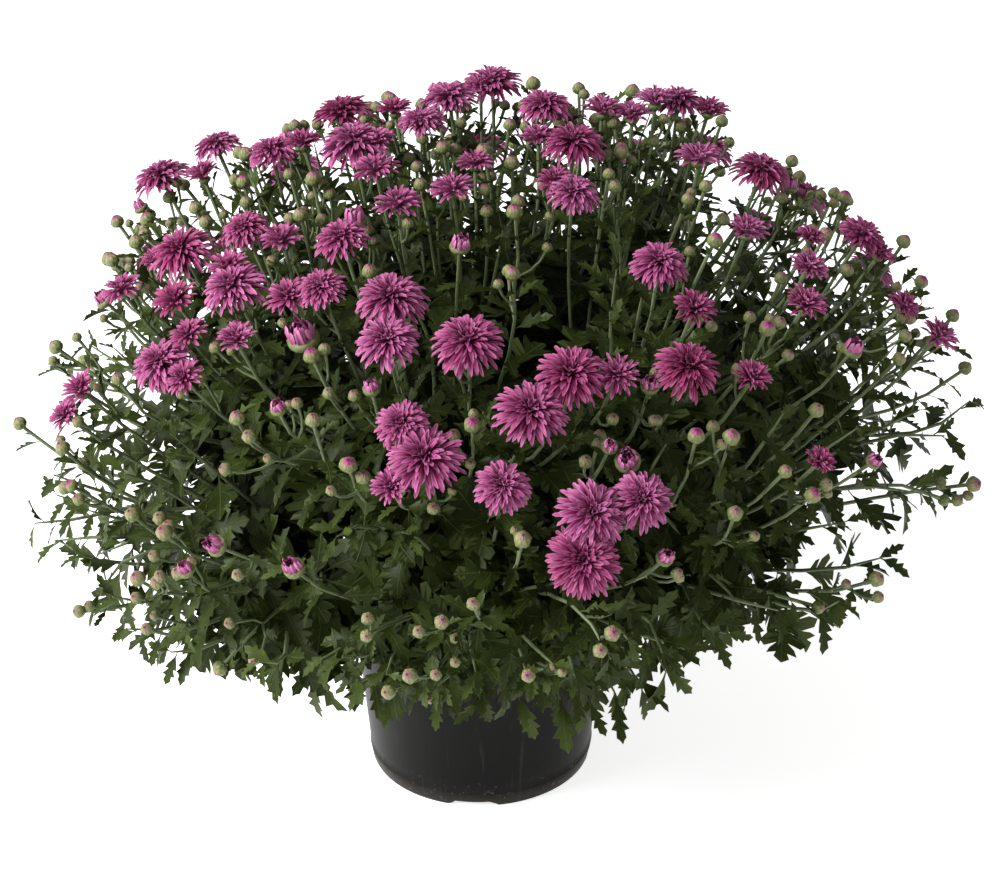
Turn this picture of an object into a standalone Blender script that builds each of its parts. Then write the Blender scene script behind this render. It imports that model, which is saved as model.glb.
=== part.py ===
"""Pot chrysanthemum: a black nursery pot of soil, leafy stems that fan out to a dome, and magenta blooms."""

import math

import bmesh
import bpy
import numpy as np
from mathutils import Vector
from mathutils.bvhtree import BVHTree

# All sizes are in metres and all angles in radians, unless a line says otherwise.
COLLECTION = "Pot_chrysanthemum"
SEED = 24
UP = np.array([0.0, 0.0, 1.0])
FLAT = np.array([1.0, 1.0, 0.0])
CLEARANCE = 0.0005
SLIVER = 0.000005
NUDGE = 0.00004
MOST_NUDGES = 12
SPLITS = ("BEAUTY", "EAR_CLIP")

# Pot: radii and heights, with the underside at zero.
POT_HEIGHT = 0.140
POT_FOOT_RADIUS = 0.0715
POT_MOUTH_RADIUS = 0.0835
POT_WALL = 0.0018
POT_SIDES = 24
RIM_RADIUS = 0.0885
RIM_BAND = 0.014
BASE_BAND = 0.010
BASE_BAND_STEP = 0.0005
FOOT_RING = 0.004
CHANNEL_RISE = 0.0045
CENTRE_PAD = 0.020
NOTCH_COUNT = 4
NOTCH_WIDTH = 0.032
NOTCH_SLOPE = 0.004
NOTCH_RISE = 0.0035
NOTCH_BELOW = 0.001
FIRST_NOTCH_ANGLE = math.radians(-94)
DRAIN_COUNT = 4
DRAIN_SIDES = 8
DRAIN_RADIUS = 0.0055
DRAIN_CIRCLE = 0.046

# Soil: its level, its lumps, and the plain holes that the stems stand in.
SOIL_LEVEL = 0.120
SOIL_GAP = 0.0008
SOIL_SIDES = 12
SOIL_RINGS = (1.0, 0.72, 0.36)
SOIL_LUMP = 0.0018
SOIL_LUMPS_ROUND = 5
SOIL_LUMPS_TURN = 9
HOLE_RADIUS = 0.0045
HOLE_SIDES = 6
HOLE_DEPTH = 0.014
STEM_DEPTH = 0.010

# Dome that the blooms stand on: a leaning ellipsoid, rounder above its widest level than below it.
DOME_CENTRE = np.array([0.014, 0.005, 0.218])
DOME_HALF_WIDTH = 0.308
DOME_HALF_DEPTH = 0.285
DOME_RISE = 0.222
DOME_DROP = 0.105
DOME_LEAN = math.radians(5)
UPPER_ROUNDNESS = 2.1
LOWER_ROUNDNESS = 1.15

# Main stems: each rises from the crown, arches over the rim and spreads to a sector of the dome.
# STEM_RINGS holds how many stand in each ring, how steeply, and the angle of the first, in degrees.
CROWN_RADIUS = 0.055
ARCH_RADIUS = 0.090
ARCH_LEVEL = 0.205
STEM_RINGS = ((7, 5, 12), (5, 43, 40), (1, 84, 200))
STEM_RADIUS = 0.0030
STEM_TIP_RADIUS = 0.0022
STEM_SIDES = 5
STEM_SHARES = (0.20, 0.42)
SECTOR_MOST = math.radians(34)

# Inner growth of each stem: the level of each ring of leaf-like tips, and its share of the sector.
CORE_TIPS = 8
CORE_RINGS = ((0.50, 0.84), (0.80, 0.97), (0.95, 0.70))
CORE_ENDS = (0.32, 0.88)
CORE_NOTCH_SPREAD = 0.72
CORE_NOTCH_DEPTH = 0.11
CORE_UNEVEN = 0.02
CORE_LOWEST = math.radians(-8)

# Stalks: where they leave the inner growth, as levels, and how far they lean to their end's own direction.
STALK_RADIUS = 0.0014
STALK_FLARE = 1.5
STALK_ROOT = (0.52, 0.62)
ROOT_LEANS = (1.0, 0.7, 0.4, 0.1)
ROOT_COVER = 0.004
STALK_BEND = (0.76, 0.90)
STALK_GAP = 0.0012
STALK_SINK = 0.30
NECK_LENGTH = 0.012

# Buds, on thinner stalks.
BUD_RADIUS = 0.0048
BUD_SHAPE = 1.8
BUD_STALK_RADIUS = 0.0010
BUD_BEND = (0.80, 0.92)
BUD_COUNT = 3
BUD_SPACING = 0.026
BUD_DROP = 0.020
BUD_NECK = 1.5
BUD_WIDEST = 0.5
BUD_ELEVATIONS = (-6, 85)
BUD_SIZES = (0.85, 1.1)
BUD_RISE = 0.8
BUD_TILT = 0.3

# Leaves: the outline is half of a five-lobed blade, as shares of its length from root to tip.
LEAF_OUTLINE = ((0.38, 0.36), (0.16, 0.48), (0.36, 0.72), (0.12, 0.78))
LEAF_THICKNESS = 0.0016
LEAF_HUB = 0.52
LEAF_FOLD = 0.14
LEAF_DROOP = 0.16
LEAF_LENGTHS = (0.055, 0.072)
LEAF_SINK = 0.004
LEAF_TURNS = (28, 46, 64, 80)
LEAF_SPIN = 1.1
LEAF_LOWEST = 0.070
LEAF_FURTHEST = 1.16
LEAVES_PER_STEM = 3
LEAF_TRIES = 120
LEAF_ROOT_EVENNESS = 1.2
LEAF_FLOW = 0.2
LEAF_FACE_RISE = 0.6
LEAF_HANG = 0.35
LEAF_HANG_HEIGHTS = (0.26, 0.14)
LEAF_HANG_SHARE = 0.65
GROWTH_HEART = 0.174
INWARD_SHARE = 0.35
STALK_LEAVES_PER_STEM = 2
STALK_LEAF_LEVELS = (0.94, 0.99)
STALK_LEAF_LENGTHS = (0.042, 0.055)
STALK_LEAF_SHARES = (0.1, 0.85)
STALK_LEAF_TRIES = 4
STALK_LEAF_WAY = (0.75, 0.5)
STALK_LEAF_RISE = 0.3
SKIRT_LEAVES = 3
SKIRT_SPREAD = 0.8
SKIRT_SHARES = (0.36, 0.42)
SKIRT_LENGTHS = (0.062, 0.072)
SKIRT_DROPS = (0.9, 0.6, 0.3)
SHOOT_RADII = (0.0015, 0.0013, 0.0011, 0.0008)
SHOOT_LEAF = 0.030
SHOOT_LEAF_SIZES = (0.9, 1.1)
SHOOT_LEAF_WAY = (0.8, 0.7, 0.1)
SHOOT_LEAVES = ((0.30, 1.0), (0.62, -1.0), (0.95, 0.1))

# Blooms: layers of petals as (radius, height) of tip and notch, in shares of the bloom's radius.
BLOOM_LAYERS = (((1.00, 0.08), (0.70, 0.00)), ((0.80, 0.40), (0.56, 0.30)))
BLOOM_CROWN = (0.36, 0.58)
BLOOM_FOOT = -0.26
BLOOM_TOP = 0.50
BLOOM_RISE = 0.5
BLOOM_TILT = 0.12
BLOOM_PETAL_SPAN = 0.0029
BLOOM_PETALS = (6, 7)
BLOOM_NODES = 44
BLOOM_SHRINK = 0.95
TOUCH_SHARES = (0.84, 1.14)
TOUCH_TARGETS = (0.74, 1.16)
SETTLE_ROUNDS = 12
SETTLE_PACE = 0.25
HIDDEN_BLOOMS = 14
HIDDEN_SPACING = 0.054
HIDDEN_TURN = -0.42
HIDDEN_WIDTHS = (0.030, 0.043)
HIDDEN_AZIMUTHS = (0, 180)
HIDDEN_ELEVATIONS = (4, 75)
MOST_TRIES = 6000

# Where the photograph was taken from, to place what it shows. Its frame is 1000 by 879 pixels.
VIEW_TARGET = np.array([0.0147, 0.0, 0.230])
VIEW_DISTANCE = 2.2
VIEW_DOWN = math.radians(29)
VIEW_ROLL = math.radians(-0.67)
VIEW_FOCAL = 3500
VIEW_CENTRE = (500, 439.5)
SIGHT_REACH = 0.5
SIGHT_STEPS = 2001

# Open blooms read from the photograph by eye: centre in its pixels, and real width in millimetres.
SEEN_BLOOMS = (
    (168, 177, 39), (212, 151, 32), (204, 178, 26), (271, 154, 32), (348, 117, 39), (354, 146, 45),
    (306, 145, 26), (376, 172, 29), (386, 140, 24), (421, 122, 31), (395, 113, 24), (446, 105, 36),
    (473, 92, 24), (492, 86, 39), (475, 166, 23), (405, 205, 30), (446, 194, 28), (343, 242, 35),
    (242, 235, 31), (281, 242, 28), (188, 258, 43), (156, 264, 22), (231, 270, 28), (234, 296, 41),
    (124, 290, 26), (179, 296, 30), (284, 298, 28), (322, 290, 31), (391, 301, 43), (397, 344, 38),
    (458, 345, 43), (195, 336, 25), (238, 342, 27), (159, 365, 38), (188, 376, 25), (84, 392, 28),
    (67, 417, 23), (402, 425, 32), (438, 463, 46), (391, 490, 26), (494, 478, 33), (548, 109, 34),
    (599, 113, 28), (632, 118, 27), (655, 104, 28), (678, 104, 34), (708, 113, 27), (538, 139, 23),
    (574, 146, 40), (704, 162, 30), (755, 172, 38), (555, 183, 24), (573, 195, 31), (660, 267, 35),
    (746, 234, 26), (810, 239, 20), (860, 239, 32), (878, 256, 22), (808, 269, 25), (804, 307, 28),
    (692, 312, 28), (694, 369, 41), (743, 379, 26), (571, 376, 42), (617, 377, 28), (527, 421, 44),
    (902, 307, 22), (936, 339, 28), (588, 515, 42), (585, 559, 45), (643, 503, 37), (818, 463, 20),
)

# Opening buds with pink tips, read the same way.
SEEN_BUDS = (
    (135, 199, 11), (285, 129, 12), (434, 81, 12), (354, 205, 16), (461, 235, 14), (96, 290, 14),
    (236, 321, 10), (309, 349, 10), (370, 379, 12), (276, 401, 11), (348, 460, 10), (472, 420, 10),
    (67, 482, 8), (206, 541, 15), (287, 560, 15), (792, 176, 12), (718, 234, 10), (652, 377, 13),
    (859, 339, 14), (769, 323, 10), (880, 456, 11), (817, 491, 10), (697, 430, 10), (611, 442, 11),
    (669, 552, 12), (114, 216, 9), (242, 175, 9), (390, 92, 9), (846, 191, 9), (925, 277, 9), (957, 310, 9),
)

# Leafy side shoots that reach furthest, read the same way: the pixel of each tip.
SEEN_SHOOTS = ((10, 524), (40, 470), (100, 600), (990, 384), (950, 505), (868, 600))

# Plain colours, as shares of red, green and blue, each with its roughness.
POT_FINISH = ((0.012, 0.012, 0.011), 0.45)
SOIL_FINISH = ((0.030, 0.020, 0.013), 0.95)
FOLIAGE_FINISH = ((0.035, 0.055, 0.022), 0.60)
PETAL_FINISH = ((0.450, 0.060, 0.240), 0.55)


def clear_scene():
    """Removes every object, so the script can be run again in the same file."""
    for old in list(bpy.data.objects):
        bpy.data.objects.remove(old, do_unlink=True)


def unit(vectors):
    """The vectors at length one."""
    vectors = np.asarray(vectors, float)
    return vectors / np.linalg.norm(vectors, axis=-1, keepdims=True)


def toward(azimuth, elevation):
    """The direction at these two angles, in degrees."""
    a, e = math.radians(azimuth), math.radians(elevation)
    return np.array([math.cos(e) * math.cos(a), math.cos(e) * math.sin(a), math.sin(e)])


LEAN = np.array(
    [[math.cos(DOME_LEAN), 0, -math.sin(DOME_LEAN)], [0, 1, 0], [math.sin(DOME_LEAN), 0, math.cos(DOME_LEAN)]]
)


def dome_level(points):
    """How far out each point is, from 0 at the dome's centre to 1 on its surface."""
    local = (np.atleast_2d(points) - DOME_CENTRE) @ LEAN
    upper = local[:, 2] > 0
    flat = np.hypot(local[:, 0] / DOME_HALF_WIDTH, local[:, 1] / DOME_HALF_DEPTH)
    rise = np.abs(local[:, 2]) / np.where(upper, DOME_RISE, DOME_DROP)
    power = np.where(upper, UPPER_ROUNDNESS, LOWER_ROUNDNESS)
    return (flat**power + rise**power) ** (1 / power)


def dome_surface(directions):
    """The dome's surface in each direction: the direction divided by its own level."""
    turned = np.atleast_2d(directions) @ LEAN.T
    return DOME_CENTRE + turned / dome_level(DOME_CENTRE + turned)[:, None]


def dome_normal(point):
    """The way out of the dome at a point, from the differences of its level."""
    steps = 0.002 * np.eye(3)
    return unit(dome_level(point + steps) - dome_level(point - steps))


def dome_direction(point):
    """The direction whose shoot ends nearest to this point of the dome."""
    return unit((np.asarray(point) - DOME_CENTRE) @ LEAN)


def grow(direction, share):
    """The place a share of the way along a shoot: a quadratic curve from crown to dome past the arch."""
    direction = np.asarray(direction, float)
    flat = direction * FLAT
    crown = CROWN_RADIUS * flat + SOIL_LEVEL * UP
    arch = ARCH_RADIUS * flat + ARCH_LEVEL * UP
    end = dome_surface(direction)[0]
    return (1 - share) ** 2 * crown + 2 * share * (1 - share) * arch + share**2 * end


def view_eye():
    """Where the photograph was taken from."""
    return VIEW_TARGET - VIEW_DISTANCE * np.array([0, math.cos(VIEW_DOWN), -math.sin(VIEW_DOWN)])


def seen_place(x, y):
    """Where the line of sight through a pixel first meets the dome, or passes nearest to it."""
    forward = unit(VIEW_TARGET - view_eye())
    side = np.array([1.0, 0, 0])
    rise = np.cross(side, forward)
    right = side * math.cos(VIEW_ROLL) + rise * math.sin(VIEW_ROLL)
    above = rise * math.cos(VIEW_ROLL) - side * math.sin(VIEW_ROLL)
    across, down = (x - VIEW_CENTRE[0]) / VIEW_FOCAL, (y - VIEW_CENTRE[1]) / VIEW_FOCAL
    line = forward + across * right - down * above
    along = np.linspace(VIEW_DISTANCE - SIGHT_REACH, VIEW_DISTANCE + SIGHT_REACH, SIGHT_STEPS)
    points = view_eye() + along[:, None] * line
    levels = dome_level(points)
    inside = np.flatnonzero(levels <= 1)
    return points[inside[0] if len(inside) else levels.argmin()]


def frame_along(axis, hint=UP):
    """Three unit vectors: one across the axis and square to the hint, one square to both, and the axis."""
    axis = unit(axis)
    across = np.cross(hint, axis)
    if np.linalg.norm(across) < 1e-3:
        across = np.cross((1.0, 0.2, 0.0), axis)
    across = unit(across)
    return np.array([across, np.cross(axis, across), axis])


def band_faces(first, second, sides):
    """The faces between two rings of points, from the numbers of their first points."""
    following = [(j + 1) % sides for j in range(sides)]
    return [(first + j, first + k, second + k, second + j) for j, k in enumerate(following)]


def fan_faces(tip, ring):
    """The triangles from a point to each side of a ring."""
    ring = list(ring)
    return [(tip, here, following) for here, following in zip(ring, ring[1:] + ring[:1])]


def split(faces):
    """The faces as triangles, each face fanned out from its first corner."""
    return [(face[0], face[i], face[i + 1]) for face in faces for i in range(1, len(face) - 1)]


def rings_closed(rings, start=None, end=None):
    """Points and faces of a skin over rings of points, closed by a point or a flat face at each end."""
    count, sides = len(rings), len(rings[0])
    points = [point for ring in rings for point in ring]
    faces = [face for i in range(count - 1) for face in band_faces(i * sides, (i + 1) * sides, sides)]
    first = range(sides - 1, -1, -1)
    last = range((count - 1) * sides, count * sides)
    for ring, tip in ((first, start), (last, end)):
        if tip is None:
            faces.append(tuple(ring))
        else:
            faces += fan_faces(len(points), ring)
            points.append(tip)
    return np.array(points, float), split(faces)


def tube(path, radii, sides, end=None):
    """A tube along a path, with a ring of points square to the way on at each of its places."""
    path = np.asarray(path, float)
    ahead = np.gradient(path, axis=0)
    angles = 2 * math.pi * np.arange(sides) / sides
    rings = []
    for place, way, radius in zip(path, ahead, radii):
        across, over, _ = frame_along(way)
        rings.append(place + radius * (np.cos(angles)[:, None] * across + np.sin(angles)[:, None] * over))
    return rings_closed(rings, end=end)


def turned_ring(place, axes, angles, radii, rises):
    """A ring of points round an axis, each at its own angle, radius and rise along the axis."""
    across, over, axis = axes
    out = np.cos(angles)[:, None] * across + np.sin(angles)[:, None] * over
    return place + np.asarray(radii)[:, None] * out + np.asarray(rises)[:, None] * axis


def bloom_solid(place, axis, radius, petals, turn):
    """A bloom: a pointed foot, two layers of petals, each tip over a notch of the other, and a crown."""
    axes = frame_along(axis)
    sides = 2 * petals
    angles = turn + math.pi * np.arange(sides) / petals
    rings = []
    for layer, tip_and_notch in enumerate(BLOOM_LAYERS):
        shape = radius * np.array([tip_and_notch[(j + layer) % 2] for j in range(sides)])
        rings.append(turned_ring(place, axes, angles, shape[:, 0], shape[:, 1]))
    crown_radii, crown_rises = radius * np.outer(BLOOM_CROWN, np.ones(petals))
    rings.append(turned_ring(place, axes, angles[::2], crown_radii, crown_rises))
    foot, top = (place + rise * radius * axes[2] for rise in (BLOOM_FOOT, BLOOM_TOP))
    points = np.vstack([*rings, foot, top])
    crown = 2 * sides
    lowest, peak = len(points) - 2, len(points) - 1
    band = band_faces(0, sides, sides)
    faces = [face if j % 2 else face[1:] + face[:1] for j, face in enumerate(band)]
    faces += fan_faces(lowest, range(sides - 1, -1, -1)) + fan_faces(peak, range(crown, crown + petals))
    for j in range(petals):
        before, tip, after = (sides + (2 * j + k) % sides for k in (-1, 0, 1))
        here, following = crown + j, crown + (j + 1) % petals
        faces += [(before, tip, here), (tip, after, here), (after, following, here)]
    return points, split(faces)


def leaf_solid(place, way, face, length):
    """A lobed leaf: two fans of triangles over one outline, folded at the rib and drooping to its tip."""
    way = unit(way)
    across = unit(np.cross(way, face))
    lift = np.cross(across, way)
    outline = np.array([(0.0, 0.0), *LEAF_OUTLINE, (0.0, 1.0)] + [(-x, y) for x, y in reversed(LEAF_OUTLINE)])
    hub = np.array([[0.0, LEAF_HUB]])
    flat = np.vstack([outline, hub, hub])
    rise = LEAF_FOLD * np.abs(flat[:, 0]) - LEAF_DROOP * flat[:, 1] ** 2
    rise[-2:] += np.array([0.5, -0.5]) * LEAF_THICKNESS / length
    points = place + length * (flat[:, :1] * across + flat[:, 1:] * way + rise[:, None] * lift)
    count = len(outline)
    faces = []
    for j in range(count):
        k = (j + 1) % count
        faces += [(j, k, count), (k, j, count + 1)]
    return points, faces


def bud_solid(root, bend, seat, way, radius):
    """A bud on its stalk: a three-sided stalk that widens into the bud and closes at its tip."""
    height = BUD_SHAPE * radius
    neck = BUD_NECK * BUD_STALK_RADIUS
    radii = (BUD_STALK_RADIUS, BUD_STALK_RADIUS, neck, radius)
    return tube([root, bend, seat, seat + BUD_WIDEST * height * way], radii, 3, end=seat + height * way)


def bud_head(bud):
    """The bud alone, without its stalk: its last two rings and its tip."""
    points, _ = bud
    return rings_closed([points[6:9], points[9:12]], end=points[12])


def bvh(solid):
    """A search tree of a solid's faces."""
    points, faces = solid
    return BVHTree.FromPolygons([tuple(point) for point in points], faces, epsilon=0.0)


def shifted(solid):
    """The solid moved a little each way, so that what all of these miss also keeps a gap to it."""
    points, faces = solid
    return [(points + CLEARANCE * move, faces) for move in np.vstack([np.eye(3), -np.eye(3)])]


class Territory:
    """Every solid made so far, by a name of (stem or None, kind, number), to tell what a new one touches."""

    def __init__(self):
        self.names = []
        self.trees = []
        self.middles = np.zeros((0, 3))
        self.reaches = np.zeros(0)

    def add(self, name, solid):
        """Keeps a solid under its name."""
        middle = solid[0].mean(axis=0)
        self.names.append(name)
        self.trees.append(bvh(solid))
        self.middles = np.vstack([self.middles, middle])
        self.reaches = np.append(self.reaches, np.linalg.norm(solid[0] - middle, axis=1).max())

    def free(self, solid, may_touch=lambda name: False):
        """Whether the solid keeps clear of all the others but those whose name it may touch."""
        middle = solid[0].mean(axis=0)
        reach = np.linalg.norm(solid[0] - middle, axis=1).max() + CLEARANCE
        near = np.flatnonzero(np.linalg.norm(self.middles - middle, axis=1) < self.reaches + reach)
        near = [self.trees[i] for i in near if not may_touch(self.names[i])]
        trees = [bvh(moved) for moved in shifted(solid)] if near else []
        return not any(tree.overlap(other) for tree in trees for other in near)


class Plant:
    """The solids of each leafy stem as they are added, and the territory that they share with the blooms."""

    def __init__(self, stems):
        self.stems = stems
        self.solids = [[] for _ in stems]
        self.pink = [set() for _ in stems]
        self.stalks = [[] for _ in stems]
        self.cores = []
        self.land = Territory()

    def add(self, stem, kind, number, solid):
        """Gives a solid to a stem."""
        self.solids[stem].append(solid)
        self.land.add((stem, kind, number), solid)

    def add_if_free(self, stem, kind, number, solid, may_touch):
        """Gives a solid to a stem where it keeps clear, and tells whether it did."""
        if not self.land.free(solid, may_touch):
            return False
        self.add(stem, kind, number, solid)
        return True

    def depth(self, stem, place):
        """How deep a place is inside the inner growth of a stem: below zero where it is outside."""
        near, normal, _, _ = self.cores[stem].find_nearest(place)
        return (near - Vector(place)).dot(normal)


def stem_directions():
    """The middle direction of each leafy stem: rings of them round the dome, and one at its top."""
    return np.array(
        [
            toward(first + 360 * i / count, elevation)
            for count, elevation, first in STEM_RINGS
            for i in range(count)
        ]
    )


def nearest_stem(direction, stems):
    """The number of the leafy stem whose sector holds a direction."""
    return int((stems @ direction).argmax())


def sector_reach(stem, stems, angle):
    """How far, in radians, the sector of a stem goes from its middle at this angle round it."""
    across, over, axis = frame_along(stems[stem])
    side = math.cos(angle) * across + math.sin(angle) * over
    reaches = [SECTOR_MOST]
    for other in range(len(stems)):
        if other == stem:
            continue
        apart = axis - stems[other]
        toward_other = -(side @ apart)
        if toward_other > 1e-6:
            reaches.append(math.atan2(axis @ apart, toward_other))
    return min(reaches)


def turned_from(stem, stems, angle, by):
    """The direction that is this many radians from a stem's middle, at this angle round it."""
    across, over, axis = frame_along(stems[stem])
    side = math.cos(angle) * across + math.sin(angle) * over
    return math.cos(by) * axis + math.sin(by) * side


def core_solid(stem, stems, rng):
    """The inner growth of a stem: rings of leaf-like tips and notches that fill most of its sector."""
    angles = math.pi * np.arange(2 * CORE_TIPS) / CORE_TIPS
    rings = []
    for layer, (level, spread) in enumerate(CORE_RINGS):
        ring = []
        for j, angle in enumerate(angles):
            notched = (j + layer) % 2
            reach = spread * (CORE_NOTCH_SPREAD if notched else 1) * sector_reach(stem, stems, angle)
            out = level - CORE_NOTCH_DEPTH * notched + rng.uniform(-CORE_UNEVEN, CORE_UNEVEN)
            direction = turned_from(stem, stems, angle, reach)
            direction[2] = max(direction[2], math.sin(CORE_LOWEST))
            ring.append(grow(unit(direction), out))
        rings.append(ring)
    start, end = (grow(stems[stem], share) for share in CORE_ENDS)
    return rings_closed(rings, start=start, end=end)


def grow_toward(stem, stems, end, level_and_lean):
    """The place at this level of a shoot that leans from a stem's middle toward an end on the dome."""
    level, lean = level_and_lean
    direction = unit((1 - lean) * stems[stem] + lean * dome_direction(end))
    return grow(direction, level)


def shoot_root(plant, stem, end):
    """Where a stalk to this end leaves its stem's inner growth: as far aside as is still well inside."""
    level, lean = STALK_ROOT
    for share in ROOT_LEANS:
        root = grow_toward(stem, plant.stems, end, (level, share * lean))
        if plant.depth(stem, root) > ROOT_COVER:
            break
    return root


def place_blooms(rng):
    """Blooms as (place, axis, radius): those seen, then others spread over the side that isn't seen."""
    blooms = [[seen_place(x, y), 0.0005 * width] for x, y, width in SEEN_BLOOMS]
    for _ in range(MOST_TRIES):
        if len(blooms) == len(SEEN_BLOOMS) + HIDDEN_BLOOMS:
            break
        place = dome_surface(toward(rng.uniform(*HIDDEN_AZIMUTHS), rng.uniform(*HIDDEN_ELEVATIONS)))[0]
        seen = dome_normal(place) @ unit(view_eye() - place) > HIDDEN_TURN
        if not seen and min(np.linalg.norm(place - other) for other, _ in blooms) > HIDDEN_SPACING:
            blooms.append([place, 0.5 * rng.uniform(*HIDDEN_WIDTHS)])
    settle(blooms)
    tilts = rng.uniform(-BLOOM_TILT, BLOOM_TILT, (len(blooms), 3))
    axes = [unit(dome_normal(place) + BLOOM_RISE * UP + tilt) for (place, _), tilt in zip(blooms, tilts)]
    return [(place, axis, radius) for (place, radius), axis in zip(blooms, axes)]


def settle(blooms):
    """Draws blooms that nearly share a place into each other, and parts those that only just touch."""
    for _ in range(SETTLE_ROUNDS):
        for i, (_, r1) in enumerate(blooms):
            for j in range(i):
                r2 = blooms[j][1]
                apart = blooms[j][0] - blooms[i][0]
                share = np.linalg.norm(apart) / (r1 + r2)
                if share > TOUCH_SHARES[1]:
                    continue
                target = min(share, TOUCH_TARGETS[0]) if share < TOUCH_SHARES[0] else TOUCH_TARGETS[1]
                move = SETTLE_PACE * (share - target) * (r1 + r2) * unit(apart)
                blooms[i][0] = blooms[i][0] + move
                blooms[j][0] = blooms[j][0] - move


def bunches(heads):
    """The bloom solids in groups: those that run into each other are one group."""
    trees = [bvh(head) for head in heads]
    group = list(range(len(heads)))
    for i, tree in enumerate(trees):
        for j in range(i):
            if tree.overlap(trees[j]):
                old, new = group[i], group[j]
                group = [new if g == old else g for g in group]
    return [[i for i, g in enumerate(group) if g == label] for label in sorted(set(group))]


def stem_solid(stem, stems):
    """The main stem, from its hole in the soil to inside its own growth."""
    crown = grow(stems[stem], 0.0)
    path = [crown - STEM_DEPTH * UP, crown + STEM_DEPTH * UP]
    path += [grow(stems[stem], share) for share in STEM_SHARES]
    return tube(path, np.linspace(STEM_RADIUS, STEM_TIP_RADIUS, len(path)), STEM_SIDES)


def stalk_solid(plant, stem, bloom, sunk):
    """The stalk of a bloom, from inside the stem's own growth to just under the bloom, or sunk into it."""
    place, axis, radius = bloom
    reach = BLOOM_FOOT * radius + (STALK_SINK * radius if sunk else -STALK_GAP)
    foot = place + reach * axis
    bend = grow_toward(stem, plant.stems, place, STALK_BEND)
    path = [shoot_root(plant, stem, place), 0.5 * (bend + foot - NECK_LENGTH * axis), foot]
    return tube(path, (STALK_RADIUS, STALK_RADIUS, STALK_FLARE * STALK_RADIUS), 3)


def add_stalks(plant, blooms, heads, groups):
    """A stalk for each bloom. A bloom past the last node of blooms is part of its stem, on a sunk stalk."""
    for number, group in enumerate(groups):
        sunk = number >= BLOOM_NODES
        for i in group:
            stem = nearest_stem(dome_direction(blooms[i][0]), plant.stems)
            stalk = stalk_solid(plant, stem, blooms[i], sunk)
            plant.add(stem, "stalk", i, stalk)
            plant.stalks[stem].append((i, stalk[0][3:6].mean(axis=0), stalk[0][6:9].mean(axis=0)))
            if sunk:
                plant.pink[stem].add(len(plant.solids[stem]))
                plant.solids[stem].append(heads[i])


def add_buds(plant, blooms, rng):
    """Buds on their own stalks: those seen, then others spread over the dome, clear of what is there."""
    seen = [(seen_place(x, y), 0.0005 * width) for x, y, width in SEEN_BUDS]
    taken = [place for place, _, _ in blooms]
    count = 0
    for attempt in range(MOST_TRIES):
        if attempt < len(seen):
            place, radius = seen[attempt]
        else:
            place = dome_surface(toward(rng.uniform(0, 360), rng.uniform(*BUD_ELEVATIONS)))[0]
            radius = BUD_RADIUS * rng.uniform(*BUD_SIZES)
            if min(np.linalg.norm(place - other) for other in taken) < BUD_SPACING:
                continue
        stem = nearest_stem(dome_direction(place), plant.stems)
        way = unit(dome_normal(place) + BUD_RISE * UP + rng.uniform(-BUD_TILT, BUD_TILT, 3))
        root, bend = shoot_root(plant, stem, place), grow_toward(stem, plant.stems, place, BUD_BEND)
        seat = place - BUD_SHAPE * radius * way
        bud = bud_solid(root, 0.5 * (bend + place - BUD_DROP * way), seat, way, radius)
        if not plant.land.free(bud_head(bud)):
            continue
        if plant.add_if_free(stem, "bud", attempt, bud, lambda name: name[0] == stem):
            taken.append(place)
            count += attempt >= len(seen)
        if count == BUD_COUNT:
            break


def add_shoots(plant, rng):
    """The leafy side shoots that reach furthest, each with small leaves up to its tip."""
    for number, (x, y) in enumerate(SEEN_SHOOTS):
        tip = seen_place(x, y)
        stem = nearest_stem(dome_direction(tip), plant.stems)
        root, bend = shoot_root(plant, stem, tip), grow_toward(stem, plant.stems, tip, STALK_BEND)
        way = unit(tip - bend)
        tip = tip - SHOOT_LEAF * way
        shoot = tube([root, bend, 0.5 * (bend + tip), tip], SHOOT_RADII, 3)
        if not plant.add_if_free(stem, "shoot", number, shoot, lambda name: name[0] == stem):
            continue
        side = unit(np.cross(way, UP))
        for share, turn in SHOOT_LEAVES:
            place = bend + share * (tip - bend)
            ahead, aside, lift = SHOOT_LEAF_WAY
            length = SHOOT_LEAF * rng.uniform(*SHOOT_LEAF_SIZES)
            leaf = leaf_solid(place, ahead * way + aside * turn * side + lift * UP, UP, length)
            plant.add_if_free(stem, "leaf", number, leaf, lambda name: name[0] == stem)


def add_skirt(plant, rng):
    """The large leaves that hang over the pot's rim, from the arch of each low stem."""
    for stem in range(STEM_RINGS[0][0]):
        out = unit(plant.stems[stem] * FLAT)
        side = np.cross(UP, out)
        for number, turn in enumerate(np.linspace(-SKIRT_SPREAD, SKIRT_SPREAD, SKIRT_LEAVES)):
            root = grow(plant.stems[stem], rng.uniform(*SKIRT_SHARES))
            length = rng.uniform(*SKIRT_LENGTHS)
            for drop in SKIRT_DROPS:
                way = math.cos(turn) * out + math.sin(turn) * side - drop * UP
                leaf = leaf_solid(root, way, out + LEAF_FACE_RISE * UP, length)
                low = leaf[0][:, 2].min() < LEAF_LOWEST
                if not low and plant.add_if_free(
                    stem, "skirt", number, leaf, lambda name: name == (stem, "core", 0)
                ):
                    break


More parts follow.
